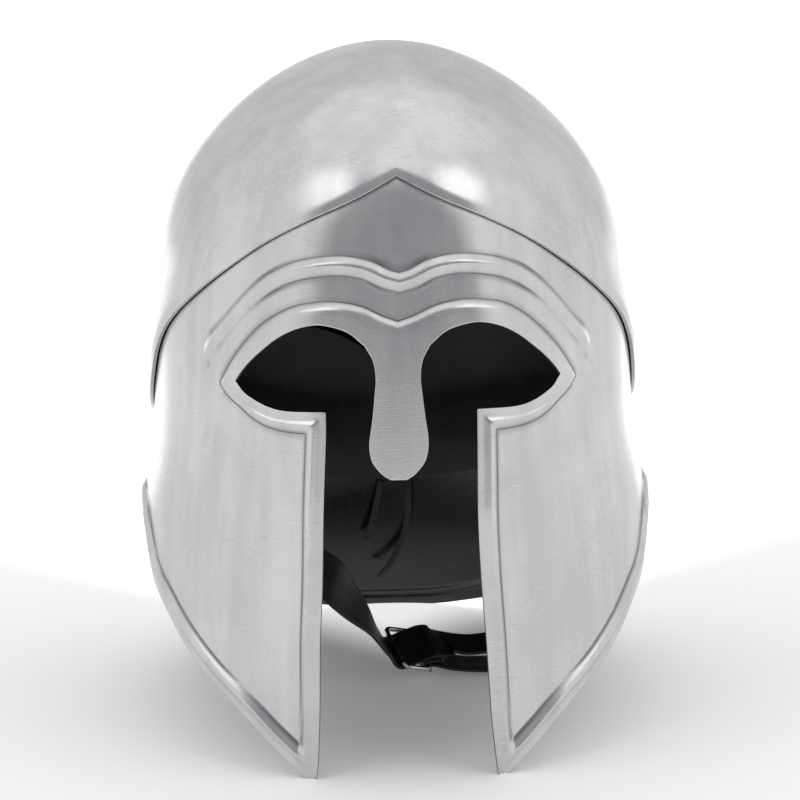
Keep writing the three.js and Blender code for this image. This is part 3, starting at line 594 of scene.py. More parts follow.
skull_rim = curve(SKULL_RIM)
ridge_crest = curve(UPPER_RIDGE_CREST)
ridge_crease = curve(LOWER_RIDGE_CREASE)
eye_upper = curve(EYE_UPPER)
eye_lower = curve(EYE_LOWER)
eye_crease = curve(EYE_CREASE)
middle_line = curve(MIDDLE_LINE)
cheek_inner = curve(CHEEK_INNER_BY_HEIGHT)
bottom_edge = curve(BOTTOM_EDGE)
nasal_half_width = curve(NASAL_HALF_WIDTH_BY_HEIGHT)
liner_lower_edge = curve(LINER_LOWER_EDGE)

# %% [markdown]
# Work done by hand isn't quite the same on both sides. On the viewer's left the face gap is a
# little wider, and the nasal and the right eye sit a little to the left. All lines are drawn for
# one side and mirrored, and then the metal is moved sideways by small amounts from two tables.

# %% Small differences between the two sides
SHIFT_START = 50.0
SHIFT_FADE = 45.0
BAND_NASAL = 22.0
BAND_LOW = 150.0
BAND_HIGH = 184.0
BAND_FADE = 14.0
gap_shift = curve(LEFT_GAP_SHIFT)
band_shift = curve(EYE_BAND_SHIFT)


def within(table, value):
    """A value held between a table's first and last rows."""
    return np.clip(value, table[0][0], table[-1][0])


def uneven(s, z):
    """Where a mirrored place really is: the left cheek's edge moves outwards, and the band of
    the eyes with the nasal moves by its own table, less and less above and below the eyes."""
    beside_gap = (s < 0) * (1 - smooth((-s - SHIFT_START) / SHIFT_FADE))
    cheek = beside_gap * gap_shift(within(LEFT_GAP_SHIFT, z))
    low = np.where(np.abs(s) < BAND_NASAL, 1, smooth((z - BAND_LOW) / BAND_FADE))
    high = 1 - smooth((z - BAND_HIGH) / BAND_FADE)
    return s - cheek + band_shift(within(EYE_BAND_SHIFT, s)) * low * high


most = max(abs(shift) for _, shift in LEFT_GAP_SHIFT + EYE_BAND_SHIFT)
print("the two sides differ by up to", most, "mm")


# %% [markdown]
# ## The raised work
#
# The upper brow ridge is chased up from behind. Below it the nasal, the eye's surround and the
# borders of the cheeks stand proud of the plain metal in one piece, behind a single crease that
# runs along the brow, round the eye's corner and down the cheek to the neck. It could be laid on
# as a displacement picture. Here it is a height that depends only on the distance to measured
# lines in the rolled-out sheet, so every crease stays crisp and every bevel keeps its width.

# %% Distances to the lines
LINE_STEPS = 150
BORDER_WIDTH = 9.0
FAR_BELOW = -90.0
FAR_BACK = 20.0
FAR_ACROSS = -5.0


def drawn(table, by_height=False):
    """The curve of a table as a fine line of s and z."""
    fine = np.linspace(table[0][0], table[-1][0], LINE_STEPS)
    pair = [curve(table)(fine), fine] if by_height else [fine, curve(table)(fine)]
    return np.stack(pair, -1)


def step_line():
    """The crease round the raised zone: the brow's line, back under the eye, down beside the
    face gap at the border's width, and up along the bottom edge at the same width."""
    height = np.linspace(EYE_CREASE[0][1], TIP_CREASE[1], 80)[1:-1]
    beside_gap = np.stack([cheek_inner(height) + BORDER_WIDTH, height], -1)
    way = unit(np.gradient(bottom_line, axis=0))
    above_bottom = bottom_line + BORDER_WIDTH * way[:, ::-1] * [-1, 1]
    above_bottom = above_bottom[above_bottom[:, 0] > TIP_CREASE[0] + 0.5]
    under_eye = drawn(EYE_CREASE)[::-1]
    return np.vstack([crease_line, under_eye, beside_gap, [TIP_CREASE], above_bottom])


crest_line = drawn(UPPER_RIDGE_CREST)
crease_line = drawn(LOWER_RIDGE_CREASE)
inner_line = drawn(CHEEK_INNER_BY_HEIGHT, by_height=True)
bottom_line = drawn(BOTTOM_EDGE)
eye_line = np.vstack([drawn(EYE_LOWER), [EYE_END - 0.8, 164.2]])
step_crease = step_line()


def distance_to(line, s, z):
    """The shortest distance from each point to a line's segments, in the rolled-out sheet."""
    best = np.full(s.shape, 1e9)
    for (a_s, a_z), (b_s, b_z) in zip(line[:-1], line[1:]):
        ds, dz = b_s - a_s, b_z - a_z
        t = np.clip(((s - a_s) * ds + (z - a_z) * dz) / (ds * ds + dz * dz), 0, 1)
        best = np.minimum(best, np.hypot(s - a_s - t * ds, z - a_z - t * dz))
    return best


def under(line, s, z):
    """Whether points lie on the face's side of a line, by counting how often a straight way
    down from each one would have to cross the line closed far below."""
    behind = line[-1, 0] + FAR_BACK
    below = [[behind, line[-1, 1]], [behind, FAR_BELOW], [FAR_ACROSS, FAR_BELOW]]
    ring = np.vstack([line, below, [[FAR_ACROSS, line[0, 1]]], line[:1]])
    odd = np.zeros(s.shape, bool)
    for (a_s, a_z), (b_s, b_z) in zip(ring[:-1], ring[1:]):
        if a_s != b_s:
            crossing = a_z + (s - a_s) * (b_z - a_z) / (b_s - a_s)
            odd ^= ((a_s > s) != (b_s > s)) & (z < crossing)
    return odd


# %% [markdown]
# A chased ridge has a round crest and a crisp foot. The raised zone is one bevel that leans back
# from its crease. Both are heights over the plain sheet, so the greater one wins where they meet.
# The same distances say where a crease is darkened by painted shade.

# %% The height of the raised work
STEP_HEIGHT = 2.4
STEP_WIDTH = 3.7
STEP_ROUNDNESS = 1.4
EDGE_WIDTH = 5.3
LIP_WIDTH = 2.8
EDGE_DROP = 1.1
EDGE_DROP_TOP = 160.0
EDGE_DROP_FADE = 6.0
RIDGE_HEIGHT = 2.5
RIDGE_ABOVE = 3.7
RIDGE_BELOW = 4.4
RIDGE_ROUNDNESS = 1.35
RIDGE_FADE_START = 84.0
RIDGE_FADE_END = 97.0


def ridge_share(s, z):
    """How far across the upper ridge a point is, 0 at its crest and 1 at its foot, and how much
    of the ridge is left there as it runs out towards the temple."""
    across = distance_to(crest_line, s, z) / np.where(z > ridge_crest(s), RIDGE_ABOVE, RIDGE_BELOW)
    left = 1 - smooth((s - RIDGE_FADE_START) / (RIDGE_FADE_END - RIDGE_FADE_START))
    return across, left


def relief(s, z):
    """The greater of two heights. The ridge is one less a power of the share across it. The
    raised zone rises from its crease in a nearly flat bevel to a crest. Towards the eye's lower
    edge, the face gap and the bottom it falls again by an S curve to a narrow lip."""
    s = np.abs(s)
    across, left = ridge_share(s, z)
    upper = RIDGE_HEIGHT * left * np.maximum(1 - across**RIDGE_ROUNDNESS, 0)
    rise = np.clip(distance_to(step_crease, s, z) / STEP_WIDTH, 0, 1)
    step = STEP_HEIGHT * (1 - (1 - rise) ** STEP_ROUNDNESS)
    edge = np.min([distance_to(line, s, z) for line in (eye_line, inner_line, bottom_line)], 0)
    fall = EDGE_DROP * smooth((EDGE_WIDTH - edge) / (EDGE_WIDTH - LIP_WIDTH))
    fall *= 1 - smooth((z - EDGE_DROP_TOP) / EDGE_DROP_FADE)
    return np.maximum(upper, np.where(under(step_crease, s, z), step - fall, 0))


CREASE_WIDTH = 0.45


def painted_crease_shade(s, z):
    """How near a point of the mask is to a crease, from 0 to 1, which darkens its colour as painted
    shade: a bell curve of the distance, at the ridge's feet, the zone's crease and the skull's rim."""
    s = np.abs(s)
    across, left = ridge_share(s, z)
    feet = np.abs(across - 1) * (RIDGE_ABOVE + RIDGE_BELOW) / 2
    lines = [feet, distance_to(step_crease, s, z), np.abs(z - skull_rim(s)) * 0.8]
    strength = [left, 1.0, 0.5]
    return np.max([k * np.exp(-((d / CREASE_WIDTH) ** 2)) for d, k in zip(lines, strength)], 0)


# %% [markdown]
# ## Closed walls from blocks of points
#
# The mask has eye openings, so it isn't one rectangle of points. It is three: the forehead, the
# nasal and the cheeks, which run on round the back. Each block is a grid of s and z whose sides
# fall exactly on the measured lines, so the edges are clean and no face is cut. The blocks are
# mirrored, joined where their points agree, and given an outside, an inside and a rounded edge.

# %% Join blocks into one wall
EDGE_STEPS = 6
EDGE_SQUARENESS = 0.45
EDGE_BULGE = 0.4
MERGE_PER_MM = 2000


def joined(blocks):
    """Grids of s and z, with their mirror images, as single points and the faces over them."""
    places, quads, count = [], [], 0
    for block in blocks:
        for hand in (1, -1):
            grid = block * [hand, 1]
            rows, columns = grid.shape[:2]
            index = np.arange(rows * columns).reshape(rows, columns) + count
            corners = [index[:-1, :-1], index[:-1, 1:], index[1:, 1:], index[1:, :-1]]
            quad = np.stack(corners, -1).reshape(-1, 4)
            quads.append(quad if hand > 0 else quad[:, ::-1])
            places.append(grid.reshape(-1, 2))
            count += rows * columns
    places, quads = np.vstack(places), np.vstack(quads)
    places[places[:, 0] < -HALF_ROUND + 1e-4, 0] = HALF_ROUND
    places[places[:, 1] > DOME_TOP - 1e-4, 0] = 0
    rounded = np.round(places * MERGE_PER_MM).astype(int)
    _, first, new = np.unique(rounded, axis=0, return_index=True, return_inverse=True)
    return places[first], new.reshape(-1)[quads]


def split_faces(quads):
    """Whole quads, and the triangles that are left where two corners fell together."""
    same = quads == np.roll(quads, -1, axis=1)
    whole = quads[~same.any(1)]
    thin = quads[same.sum(1) == 1]
    gone = same[same.sum(1) == 1].argmax(1)
    keep = np.arange(4) != gone[:, None]
    return whole, thin[keep].reshape(-1, 3)


def edges_of(faces):
    """The directed edges of faces with the same number of corners."""
    return np.stack([faces, np.roll(faces, -1, axis=1)], -1).reshape(-1, 2)


def wall(name, blocks, outer, inner, cad_node, materials, bright_strips=2, shading=None):
    """A closed wall. Its outside and inside are two functions of s and z. Its edge goes from one
    to the other as a filed edge does: nearly square, with the sine and cosine of half a turn
    raised to a small power. Its first strips have the outside's material."""
    places, quads = joined(blocks)
    whole, thin = split_faces(quads)
    count = len(places)
    outside, inside = outer(*places.T), inner(*places.T)
    edges = np.vstack([edges_of(whole), edges_of(thin)])
    code, back_code = edges @ [count, 1], edges @ [1, count]
    rim = edges[~np.isin(code, back_code)]
    along = np.zeros((count, 3))
    step = outside[rim[:, 1]] - outside[rim[:, 0]]
    np.add.at(along, rim[:, 0], unit(step))
    np.add.at(along, rim[:, 1], unit(step))
    used = np.unique(rim)
    place = np.zeros(count, int)
    place[used] = np.arange(len(used))
    middle, half = (outside + inside)[used] / 2, (outside - inside)[used] / 2
    out = np.cross(unit(along[used]), unit(half)) * np.linalg.norm(half, axis=1, keepdims=True)
    turns = np.pi * np.arange(1, EDGE_STEPS) / EDGE_STEPS
    across = np.sign(np.cos(turns)) * np.abs(np.cos(turns)) ** EDGE_SQUARENESS
    bulge = EDGE_BULGE * np.sin(turns) ** EDGE_SQUARENESS
    rings = [middle + half * a + out * b for a, b in zip(across, bulge)]
    points = np.vstack([outside, inside, *rings])
    chain = [rim] + [2 * count + k * len(used) + place[rim] for k in range(EDGE_STEPS - 1)]
    chain.append(rim + count)
    strips = [
        np.stack([a[:, 1], a[:, 0], b[:, 0], b[:, 1]], -1) for a, b in zip(chain[:-1], chain[1:])
    ]
    bright = np.vstack(strips[:bright_strips])
    faces = whole.tolist() + thin.tolist() + bright.tolist()
    painted = (whole[:, ::-1] + count).tolist() + (thin[:, ::-1] + count).tolist()
    painted += np.vstack(strips[bright_strips:]).tolist()
    index = [0] * len(faces) + [len(materials) - 1] * len(painted)
    piece = new_piece(name, points, faces + painted, [cad_node], materials, index)
    shade = np.zeros(len(points))
    if shading:
        shade[:count] = shading(*places.T)
    # The crease value is painted shade for the steel's colour.
    layer = piece.data.attributes.new("crease", "FLOAT", "POINT")
    layer.data.foreach_set("value", shade.astype(np.float32))


def between(stops, parts):
    """Values from stop to stop, each stretch cut into its own number of equal parts. The stops
    are rows, so whole columns are cut at once."""
    stops = np.asarray(stops, float)
    downwards = [-1] + [1] * (stops.ndim - 1)
    pieces = []
    for low, high, count in zip(stops[:-1], stops[1:], parts):
        pieces.append(low + (high - low) * np.arange(count).reshape(downwards) / count)
    return np.concatenate(pieces + [stops[-1:]])


# %% [markdown]
# ## The mask
#
# Rows of the forehead follow the brow ridges, so that a crease always falls on an edge between
# faces. Columns of the cheek slide forward with the face gap, down to the pointed tips.

# %% Blocks of the mask
EDGE_SUPPORT = 0.35
CREASE_SUPPORT = 0.45
LEAST_SUPPORT = 0.1
CREST_COLUMN = CHEEK_START + EDGE_WIDTH
CREASE_COLUMN = CHEEK_START + BORDER_WIDTH
nasal_columns = between([0, EYE_START - EDGE_SUPPORT, EYE_START], [12, 1])
lash_columns = between([EYE_START, CHEEK_START], [17])[1:]
eye_columns = between(
    [CHEEK_START, CHEEK_START + LIP_WIDTH, CREST_COLUMN, CREASE_COLUMN - CREASE_SUPPORT,
     CREASE_COLUMN, CREASE_COLUMN + CREASE_SUPPORT, EYE_END],
    [3, 4, 3, 1, 1, 34],
)[1:]
back_columns = between([EYE_END, 120, 200, HALF_ROUND], [40, 20, 26])[1:]
all_columns = np.concatenate([nasal_columns, lash_columns, eye_columns, back_columns])
LAP_DEPTH = 8.0
PLAIN_START = 84.0
PLAIN_BLEND = 30.0
ROW_GAP = 0.7
STEEPEST = 1.7
CHEEK_SHIFT = CHEEK_END - CHEEK_START
CHEEK_SHIFT_FADE = 120.0
GAP_BLEND = 50.0


def forehead_block():
    """Heights of rows from the eye's upper edge, or the middle line, up to the lapped edge:
    by the ridges in front, and evenly at the back."""
    s = all_columns
    beside = np.where(s <= EYE_END, eye_upper(s), middle_line(s))
    foot = np.where(s <= EYE_START, EYE_START_HEIGHT, beside)
    rim, crest, crease = skull_rim(s), ridge_crest(s), ridge_crease(s)
    shaped = np.stack([
        foot, crease - STEP_WIDTH, crease, crest - RIDGE_BELOW, crest, crest + RIDGE_ABOVE,
        (crest + RIDGE_ABOVE + rim) / 2, rim,
    ])
    order = np.arange(len(shaped))[:, None]
    even = foot + (rim - foot) * order / (len(shaped) - 1)
    held = np.maximum(shaped, foot + ROW_GAP * order)
    stops = held + (even - held) * smooth((s - PLAIN_START) / PLAIN_BLEND)
    support = np.where(s <= EYE_END, stops[0] + EDGE_SUPPORT, stops[0] * 0.8 + stops[1] * 0.2)
    k = CREASE_SUPPORT * (1 - smooth((s - PLAIN_START) / PLAIN_BLEND)) + LEAST_SUPPORT
    crease, above = np.maximum(stops[2], support + 2 * k), stops[3]
    stops = np.vstack([
        [stops[0], support, np.maximum(stops[1], support + k)], [crease - k, crease, crease + k],
        [above - k, above, above + k], stops[4:6], [stops[5] + k], stops[6:], [rim + LAP_DEPTH],
    ])
    stops = np.maximum.accumulate(stops + 1e-3 * np.arange(len(stops))[:, None])
    z = between(stops, [1, 3, 4, 1, 1, 4, 1, 1, 5, 5, 1, 5, 5, 2])
    return np.stack([np.broadcast_to(s, z.shape), z], -1)


def nasal_block():
    """Columns that keep their share of the nasal's half width at each height."""
    low = NASAL_HALF_WIDTH_BY_HEIGHT[0][0]
    heights = between([low, low + EDGE_SUPPORT, EYE_START_HEIGHT], [1, 50])
    s = nasal_half_width(heights)[:, None] * nasal_columns / EYE_START
    return np.stack([s, np.broadcast_to(heights[:, None], s.shape)], -1)


def cheek_block():
    """Columns from the eye or the middle line down to the bottom edge. Each slides forward on
    its way down, and those near the face gap bend with its edge."""
    s = np.concatenate([[CHEEK_START, CHEEK_START + EDGE_SUPPORT], eye_columns, back_columns])
    top = np.where(s <= EYE_END, eye_lower(s), middle_line(s))
    foot = s + CHEEK_SHIFT * (1 - smooth((s - CREASE_COLUMN) / CHEEK_SHIFT_FADE))
    bottom = bottom_edge(foot)
    slope = (bottom_edge(foot + 1) - bottom_edge(foot - 1)) / 2
    slant = np.minimum(np.hypot(1, slope), STEEPEST)
    plain = smooth((s - PLAIN_START) / PLAIN_BLEND)
    turn = np.minimum(eye_crease(np.clip(s, EYE_CREASE[0][0], PLAIN_START)), top - 3 * ROW_GAP)
    turn += (top - BORDER_WIDTH - turn) * plain
    stops = np.stack([
        top, top - EDGE_SUPPORT, top - (top - turn) * LIP_WIDTH / BORDER_WIDTH,
        top - (top - turn) * EDGE_WIDTH / BORDER_WIDTH,
        turn + CREASE_SUPPORT, turn, turn - CREASE_SUPPORT,
        bottom + (BORDER_WIDTH + CREASE_SUPPORT) * slant, bottom + BORDER_WIDTH * slant,
        bottom + (BORDER_WIDTH - CREASE_SUPPORT) * slant, bottom + EDGE_WIDTH * slant,
        bottom + LIP_WIDTH * slant, bottom + EDGE_SUPPORT * slant, bottom,
    ])
    z = between(stops, [1, 2, 4, 3, 1, 1, 46, 1, 1, 3, 4, 2, 1])
    part = (top - z) / (top - bottom)
    straight = CHEEK_START + CHEEK_SHIFT * part
    inner = cheek_inner(CHEEK_TOP + (CHEEK_BOTTOM - CHEEK_TOP) * part)
    near = 1 - smooth((s - CREASE_COLUMN) / GAP_BLEND)
    return np.stack([s + (foot - s) * part + (inner - straight) * near, z], -1)[::-1]


# %% Make the mask
wall(
    "mask_steel", [forehead_block(), nasal_block(), cheek_block()],
    lambda s, z: raised(uneven(s, z), z, LAP_STEP, relief(s, z)),
    lambda s, z: raised(uneven(s, z), z, LAP_STEP, relief(s, z) - STEEL_THICKNESS),
    "mask", [STEEL, PAINT], shading=painted_crease_shade,
)

# %% [markdown]
# ## The skull
#
# The bowl laps over the mask, and its edge runs up to a point over the brow. The edge is bevelled
# on a grinder, which leaves a narrow bright slope all round.

# %% Make the skull
BEVEL_WIDTH = 2.7
BEVEL_DROP = 0.5
CLEARANCE = 0.45


def skull_block():
    """Rows from the rim over the bevel to the top, closer together as the dome turns in."""
    s = all_columns
    rim = skull_rim(s)
    slope = skull_rim(s + 0.5) - skull_rim(s - 0.5)
    shoulder = rim + BEVEL_WIDTH * np.hypot(1, slope)
    low = between(np.stack([rim, shoulder]), [4])
    turn = np.linspace(0, np.pi / 2, 60)[1:, None]
    high = shoulder + (DOME_TOP - shoulder) * np.sin(turn)
    z = np.vstack([low, high])
    return np.stack([np.broadcast_to(s, z.shape), z], -1)


def skull_outside(s, z):
    """The form itself, less a drop that grows from the bevel's shoulder down to the rim."""
    slope = skull_rim(np.abs(s) + 0.5) - skull_rim(np.abs(s) - 0.5)
    share = (z - skull_rim(np.abs(s))) / (BEVEL_WIDTH * np.hypot(1, slope))
    return raised(s, z, 0, -BEVEL_DROP * np.clip(1 - share, 0, 1))


def skull_inside(s, z):
    """One wall's thickness in, and just clear of the mask at the rim."""
    share = (z - skull_rim(np.abs(s))) / LAP_DEPTH
    tuck = LAP_STEP - CLEARANCE - STEEL_THICKNESS
    return raised(s, z, 0, -STEEL_THICKNESS - tuck * np.clip(1 - share, 0, 1))


wall(
    "skull_steel", [skull_block()], skull_outside, skull_inside, "skull", [STEEL, PAINT],
    bright_strips=EDGE_STEPS - 1,
)

# %% [markdown]
# ## The liner
#
# The liner is a band of leather along the steel, cut into tongues above that lean inwards and
# carry the head. It could be a simulated cloth, but a fastened band keeps its form, so it is a
# wall like the steel ones, with its own table for the lower edge.

# %% Make the liner
LINER_THICKNESS = 1.8
LINER_SEAT = 1.1
LINER_BAND = 37.0
TONGUE_HEIGHT = 29.0
TONGUE_LEAN = 13.0
TONGUE_COUNT = 8
TONGUE_GAP_DEPTH = 0.72
TONGUE_EDGE = 0.5


def liner_block():
    """A band of even width, and tongues above it whose tops follow the root of a sine."""
    s = np.linspace(0, HALF_ROUND, 257)
    low = liner_lower_edge(s)
    tongue = np.sqrt(np.abs(np.sin(np.pi * s / HALF_ROUND * TONGUE_COUNT / 2)))
    height = TONGUE_HEIGHT * (1 - TONGUE_GAP_DEPTH * (1 - tongue))
    root = low + LINER_BAND
    stops = np.stack([
        low, low + EDGE_SUPPORT, root, root + height - TONGUE_EDGE, root + height,
    ])
    z = between(stops, [1, 14, 12, 1])
    return np.stack([np.broadcast_to(s, z.shape), z], -1)


def liner_face(depth):
    """The liner at a depth from the steel: tongues lean in more the higher they reach."""

    def face(s, z):
        over = np.maximum(z - liner_lower_edge(np.abs(s)) - LINER_BAND, 0)
        lean = TONGUE_LEAN * (over / TONGUE_HEIGHT) ** 1.5
        return raised(s, z, LAP_STEP + STEEL_THICKNESS + LINER_SEAT, -lean - depth)

    return face


wall(
    "liner_leather_band", [liner_block()], liner_face(0), liner_face(LINER_THICKNESS),
    "liner", [LINER_LEATHER],
)

# %% [markdown]
# ## The chin strap and its buckle
#
# The strap is two pieces of black leather, about 20 mm wide, each fixed to a stud inside the
# steel. The long one hangs from the viewer's left, goes through the wire buckle and lies on the
# short one, which is folded round the buckle's bar. Each is a rounded strip carried along a path.

# %% Make the straps
STRAP_WIDTH = 20.0
STRAP_THICKNESS = 1.8
STRAP_SQUARENESS = 0.34
STRAP_SIDES = 40
STRAP_STEPS = 12
STRAP_END_ROUNDING = 4.0
STRAPS = {
    # name: rows of x, y, z and the way in which the width points
    "strap_long": [
        (-100.4, 18, 122, -0.12, -1, 0), (-100.6, 18, 109, -0.12, -1, -0.05),
        (-96, 18.5, 98.5, -0.2, -0.85, -0.45), (-82, 15, 91, -0.4, -0.45, -0.8),
        (-60, 7, 84, -0.45, -0.25, -0.86), (-43, 1.5, 77, -0.5, -0.35, -0.8),
        (-29.5, 0, 69, -0.45, -0.48, -0.75), (-20.8, 5.5, 59, -0.18, -0.65, -0.74),
        (-12, 14, 48.5, 0.05, -0.85, -0.52), (-6.2, 24, 37.6, 0.3, -0.76, -0.58),
        (-1.5, 29.3, 31.3, 0.35, -0.72, -0.6),
        (5.9, 32, 33.1, 0.35, -0.72, -0.6), (13.4, 33.7, 35.4, 0.35, -0.72, -0.6),
        (18.1, 36.5, 34.8, 0.35, -0.72, -0.6), (22, 40, 34.2, 0.16, -0.95, -0.3),
        (31, 41.6, 32.4, 0, -0.96, -0.28), (42, 42, 33, 0, -0.96, -0.28),
        (56, 42, 35, 0, -0.96, -0.28),
    ],
    "strap_short": [
        (18.7, 39.7, 31.2, 0.35, -0.72, -0.6), (15.6, 37.4, 32.2, 0.35, -0.72, -0.6),
        (12.5, 35.4, 32.9, 0.35, -0.72, -0.6), (10.3, 34.5, 32.6, 0.35, -0.72, -0.6),
        (9.2, 35, 31.5, 0.35, -0.72, -0.6), (8.8, 35.8, 30.1, 0.35, -0.72, -0.6),
        (10.1, 37.4, 29, 0.35, -0.72, -0.6), (13.1, 39.6, 28.2, 0.35, -0.72, -0.6),
        (17.4, 40, 27.6, 0.24, -0.86, -0.42), (25, 37.8, 25.2, 0.06, -0.98, -0.18),
        (40, 36.4, 24.3, 0, -0.985, -0.17), (56, 34.5, 25, 0.03, -0.98, -0.14),
        (70, 30.5, 33.5, 0.1, -0.97, -0.02), (82, 26, 55, 0.08, -0.99, 0),
        (93, 21.5, 82, 0.04, -1, 0.02), (100, 18.4, 107.5, 0.1, -1, 0),
        (100.4, 18, 122, 0.12, -1, 0),
    ],
}


def strap_profiles(path):
    """The strip's section at each ring: full width along the strap, rounded in at both ends as
    a quarter circle does."""
    run = length_of(path)
    to_end = np.minimum(run, run[-1] - run)
    round_in = np.clip(1 - to_end / STRAP_END_ROUNDING, 0, 1)
    share = 1 - (STRAP_END_ROUNDING / (STRAP_WIDTH / 2)) * (1 - np.sqrt(1 - round_in**2))
    section = flat_profile(STRAP_WIDTH, STRAP_THICKNESS, STRAP_SIDES, STRAP_SQUARENESS)
    sections = np.tile(section, (len(path), 1, 1))
    sections[..., 0] *= share[:, None]
    return sections


for strap_name, rows in STRAPS.items():
    table = np.array(rows, float)
    strap_path = through(table[:, :3], STRAP_STEPS)
    strap_across = through(table[:, 3:], STRAP_STEPS, even=True)
    strap_points = carried(strap_path, strap_across, strap_profiles(strap_path))
    new_piece(
        strap_name + "_leather", strap_points.reshape(-1, 3),
        tube_faces(len(strap_path), STRAP_SIDES, False), [strap_name],
        [STRAP_LEATHER],
    )
    print(strap_name, "length", round(float(length_of(strap_path)[-1]), 1), "mm")

# %% [markdown]
# The buckle is a rectangle of nickel plated wire, bent round four corners and closed. Its bars
# lie between the layers of the strap, so it is worked out from a middle, a way along the strap
# and a way across it.

# %% Make the buckle
BUCKLE_WIRE = 1.1
BUCKLE_LENGTH = 14.0
BUCKLE_WIDTH = 24.5
BUCKLE_CORNER = 3.0
BUCKLE_CENTRE = np.array([5.5, 32.4, 32.4])
BUCKLE_ALONG = unit(np.array([0.8, 0.55, -0.2]))
BUCKLE_ACROSS = np.array([0.36, -0.72, -0.6])
BUCKLE_ACROSS = unit(BUCKLE_ACROSS - BUCKLE_ALONG * (BUCKLE_ACROSS @ BUCKLE_ALONG))
BUCKLE_SIDES = 16


def buckle_loop():
    """A rectangle with rounded corners: four quarter circles, joined by straight wire."""
    turn = np.linspace(0, np.pi / 2, 9)
    quarter = np.pi / 2 * np.arange(4)[:, None] + turn
    u = np.array([1, -1, -1, 1])[:, None] * (BUCKLE_LENGTH / 2 - BUCKLE_CORNER)
    v = np.array([1, 1, -1, -1])[:, None] * (BUCKLE_WIDTH / 2 - BUCKLE_CORNER)
    a = (u + BUCKLE_CORNER * np.cos(quarter)).reshape(-1, 1)
    b = (v + BUCKLE_CORNER * np.sin(quarter)).reshape(-1, 1)
    return BUCKLE_CENTRE + a * BUCKLE_ALONG + b * BUCKLE_ACROSS


def closed_tube(path, face, radius, sides):
    """Round wire along a closed path: a circle in the plane of the path's side and its face."""
    along = unit(np.roll(path, -1, axis=0) - np.roll(path, 1, axis=0))
    out = np.cross(along, face)
    turn = 2 * np.pi * np.arange(sides) / sides
    circle = np.cos(turn)[:, None] * out[:, None] + np.sin(turn)[:, None] * face
    return (path[:, None] + radius * circle).reshape(-1, 3)


buckle_face = np.cross(BUCKLE_ALONG, BUCKLE_ACROSS)
buckle_path = buckle_loop()
new_piece(
    "buckle_wire", closed_tube(buckle_path, buckle_face, BUCKLE_WIRE, BUCKLE_SIDES),
    tube_faces(len(buckle_path), BUCKLE_SIDES, True), ["buckle_frame"], [WIRE],
)

# %% [markdown]
# The two studs that hold the strap to the steel are hidden behind the cheeks. Their construction
# solids are round enough, so they stay and only get the wire's plating.

# %% Finish the studs with the wire's plating
for stud in ("stud_left", "stud_right"):
    stud_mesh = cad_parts[stud].data
    stud_mesh.materials.clear()
    stud_mesh.materials.append(WIRE)
    print(stud, "keeps its construction solid")

# %% [markdown]
# ## Light and floor
#
# Polished steel shows the room more than itself. The photograph was lit by large soft boxes at
# both sides and above, with the dark room behind the camera mirrored in the forehead. Lamps as
# cards would do it too. Here the sky itself carries the soft boxes, by direction, which is free
# of noise and lights the floor evenly.

# %% The room as a sky
FRONT_COLOUR = (0.405, 0.403, 0.422, 1)
SIDE_LEVEL = 0.95
REAR_LEVEL = 0.74
TOP_LEVEL = 1.08
BOX_LEVEL = 1.7
BOX_TURN = math.radians(60.0)
BOX_HEIGHT = math.radians(50.0)
BOX_SIZE = 0.3
BOX_SOFTNESS = 0.6
FRONT_EDGE = (43, 47)
REAR_FADE = (100, 165)
TOP_FADE = (58, 68)
REAR_TOP_FADE = (35, 50)


def grey(level):
    """A colour with the same level in red, green and blue."""
    return (level, level, level, 1)


def by_angle(tree, angle, degrees, low, high):
    """A value that goes from low to high between two angles, given in degrees."""
    return spread(tree, angle, math.radians(degrees[0]), math.radians(degrees[1]), low, high)


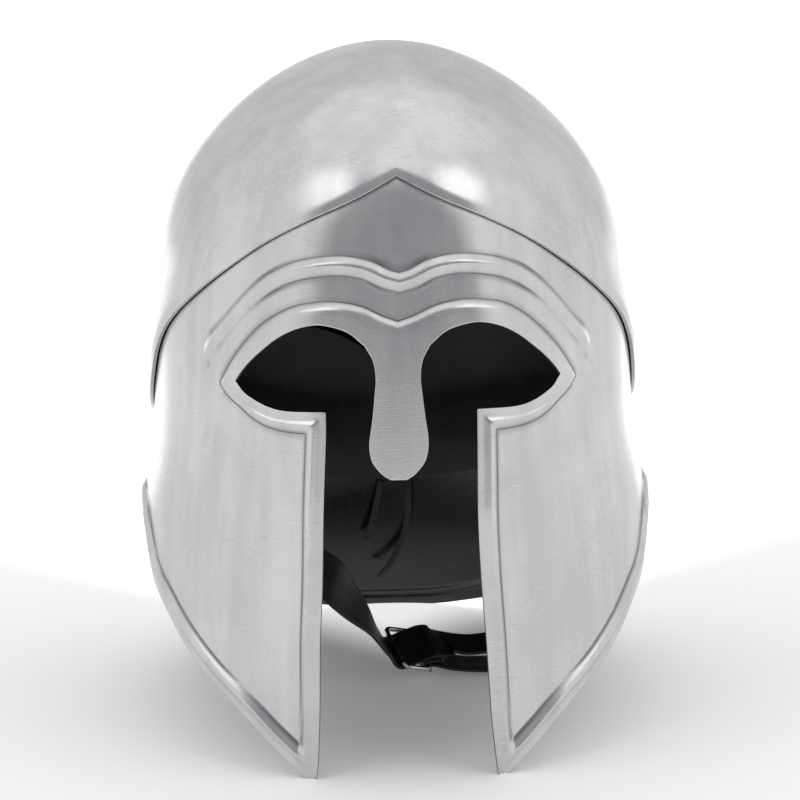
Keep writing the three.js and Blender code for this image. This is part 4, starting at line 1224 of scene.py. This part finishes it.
def soft_room():
    """Brightness by direction: dark in front between the two edges and below the top's fade,
    bright at the sides and above, dimmer behind, and two soft boxes hung high on both sides. The
    camera itself sees plain white."""
    world = bpy.data.worlds.new("soft_room")
    world.use_nodes = True
    tree = world.node_tree
    direction = node(tree, "ShaderNodeTexCoord").outputs["Generated"]
    parts = node(tree, "ShaderNodeSeparateXYZ", {"Vector": direction}).outputs
    ahead = math_node(tree, "MULTIPLY", parts["Y"], -1.0)
    turn = math_node(tree, "ABSOLUTE", math_node(tree, "ARCTAN2", parts["X"], ahead))
    height = math_node(tree, "ARCSINE", parts["Z"])
    aside = by_angle(tree, turn, FRONT_EDGE, 0.0, 1.0)
    rear = by_angle(tree, turn, REAR_FADE, 0.0, 1.0)
    top = by_angle(tree, height, TOP_FADE, 0.0, 1.0)
    behind = by_angle(tree, height, REAR_TOP_FADE, REAR_LEVEL, TOP_LEVEL)
    ahead_or_side = blended(tree, aside, FRONT_COLOUR, grey(SIDE_LEVEL))
    around = blended(tree, rear, ahead_or_side, behind)
    light = blended(tree, top, around, grey(TOP_LEVEL))
    mirrored = node(tree, "ShaderNodeCombineXYZ", {
        "X": math_node(tree, "ABSOLUTE", parts["X"]), "Y": parts["Y"], "Z": parts["Z"],
    }).outputs[0]
    flat = math.cos(BOX_HEIGHT)
    towards = (math.sin(BOX_TURN) * flat, -math.cos(BOX_TURN) * flat, math.sin(BOX_HEIGHT))
    ends = {0: mirrored, 1: towards}
    away = node(tree, "ShaderNodeVectorMath", ends, operation="DISTANCE").outputs["Value"]
    box = spread(tree, away, BOX_SIZE * BOX_SOFTNESS, BOX_SIZE, 1.0, 0.0)
    light = blended(tree, box, light, grey(BOX_LEVEL))
    seen = node(tree, "ShaderNodeLightPath").outputs["Is Camera Ray"]
    shown = blended(tree, seen, light, grey(1.0))
    tree.links.new(shown, tree.nodes["Background"].inputs["Color"])
    bpy.context.scene.world = world


soft_room()
bpy.context.scene.view_settings.view_transform = "Standard"
print("world", bpy.context.scene.world.name)

# %% [markdown]
# The floor is white paper with painted light: it glows a little in front and more in a wedge behind
# the helmet, which puts the bright upright strips on the outer sides of the cheeks.

# %% The floor
FLOOR_HALF = 6.0
FLOOR_LEVEL = 0.93
FLOOR_GLOW_FRONT = 0.12
FLOOR_GLOW_BACK = 0.8
FLOOR_GLOW_START = 0.02
FLOOR_GLOW_END = 0.1
FLOOR_WEDGE = 0.9


def floor_paper():
    """White paper that glows by how far back a place is, less its distance to either side."""
    material, tree, shader = new_material("floor_paper")
    shader.inputs["Base Color"].default_value = grey(FLOOR_LEVEL)
    shader.inputs["Roughness"].default_value = 0.9
    parts = node(tree, "ShaderNodeSeparateXYZ", {"Vector": stretched(tree)}).outputs
    aside = math_node(tree, "ABSOLUTE", parts["X"])
    back_of = math_node(tree, "MULTIPLY_ADD", aside, -FLOOR_WEDGE, parts["Y"])
    glow = spread(
        tree, back_of, FLOOR_GLOW_START, FLOOR_GLOW_END, FLOOR_GLOW_FRONT, FLOOR_GLOW_BACK,
    )
    # Painted light: the floor's glow lights the helmet, most from the wedge behind it.
    tree.links.new(glow, shader.inputs["Emission Strength"])
    shader.inputs["Emission Color"].default_value = grey(1.0)
    return material


floor_corners = FLOOR_HALF * np.array([[-1, -1, 0], [1, -1, 0], [1, 1, 0], [-1, 1, 0]])
floor_mesh = bpy.data.meshes.new("floor")
floor_mesh.from_pydata(floor_corners.tolist(), [], [(0, 1, 2, 3)])
floor_mesh.materials.append(floor_paper())
floor = bpy.data.objects.new("floor", floor_mesh)
bpy.context.scene.collection.objects.link(floor)
print("floor", 2 * FLOOR_HALF, "m wide")
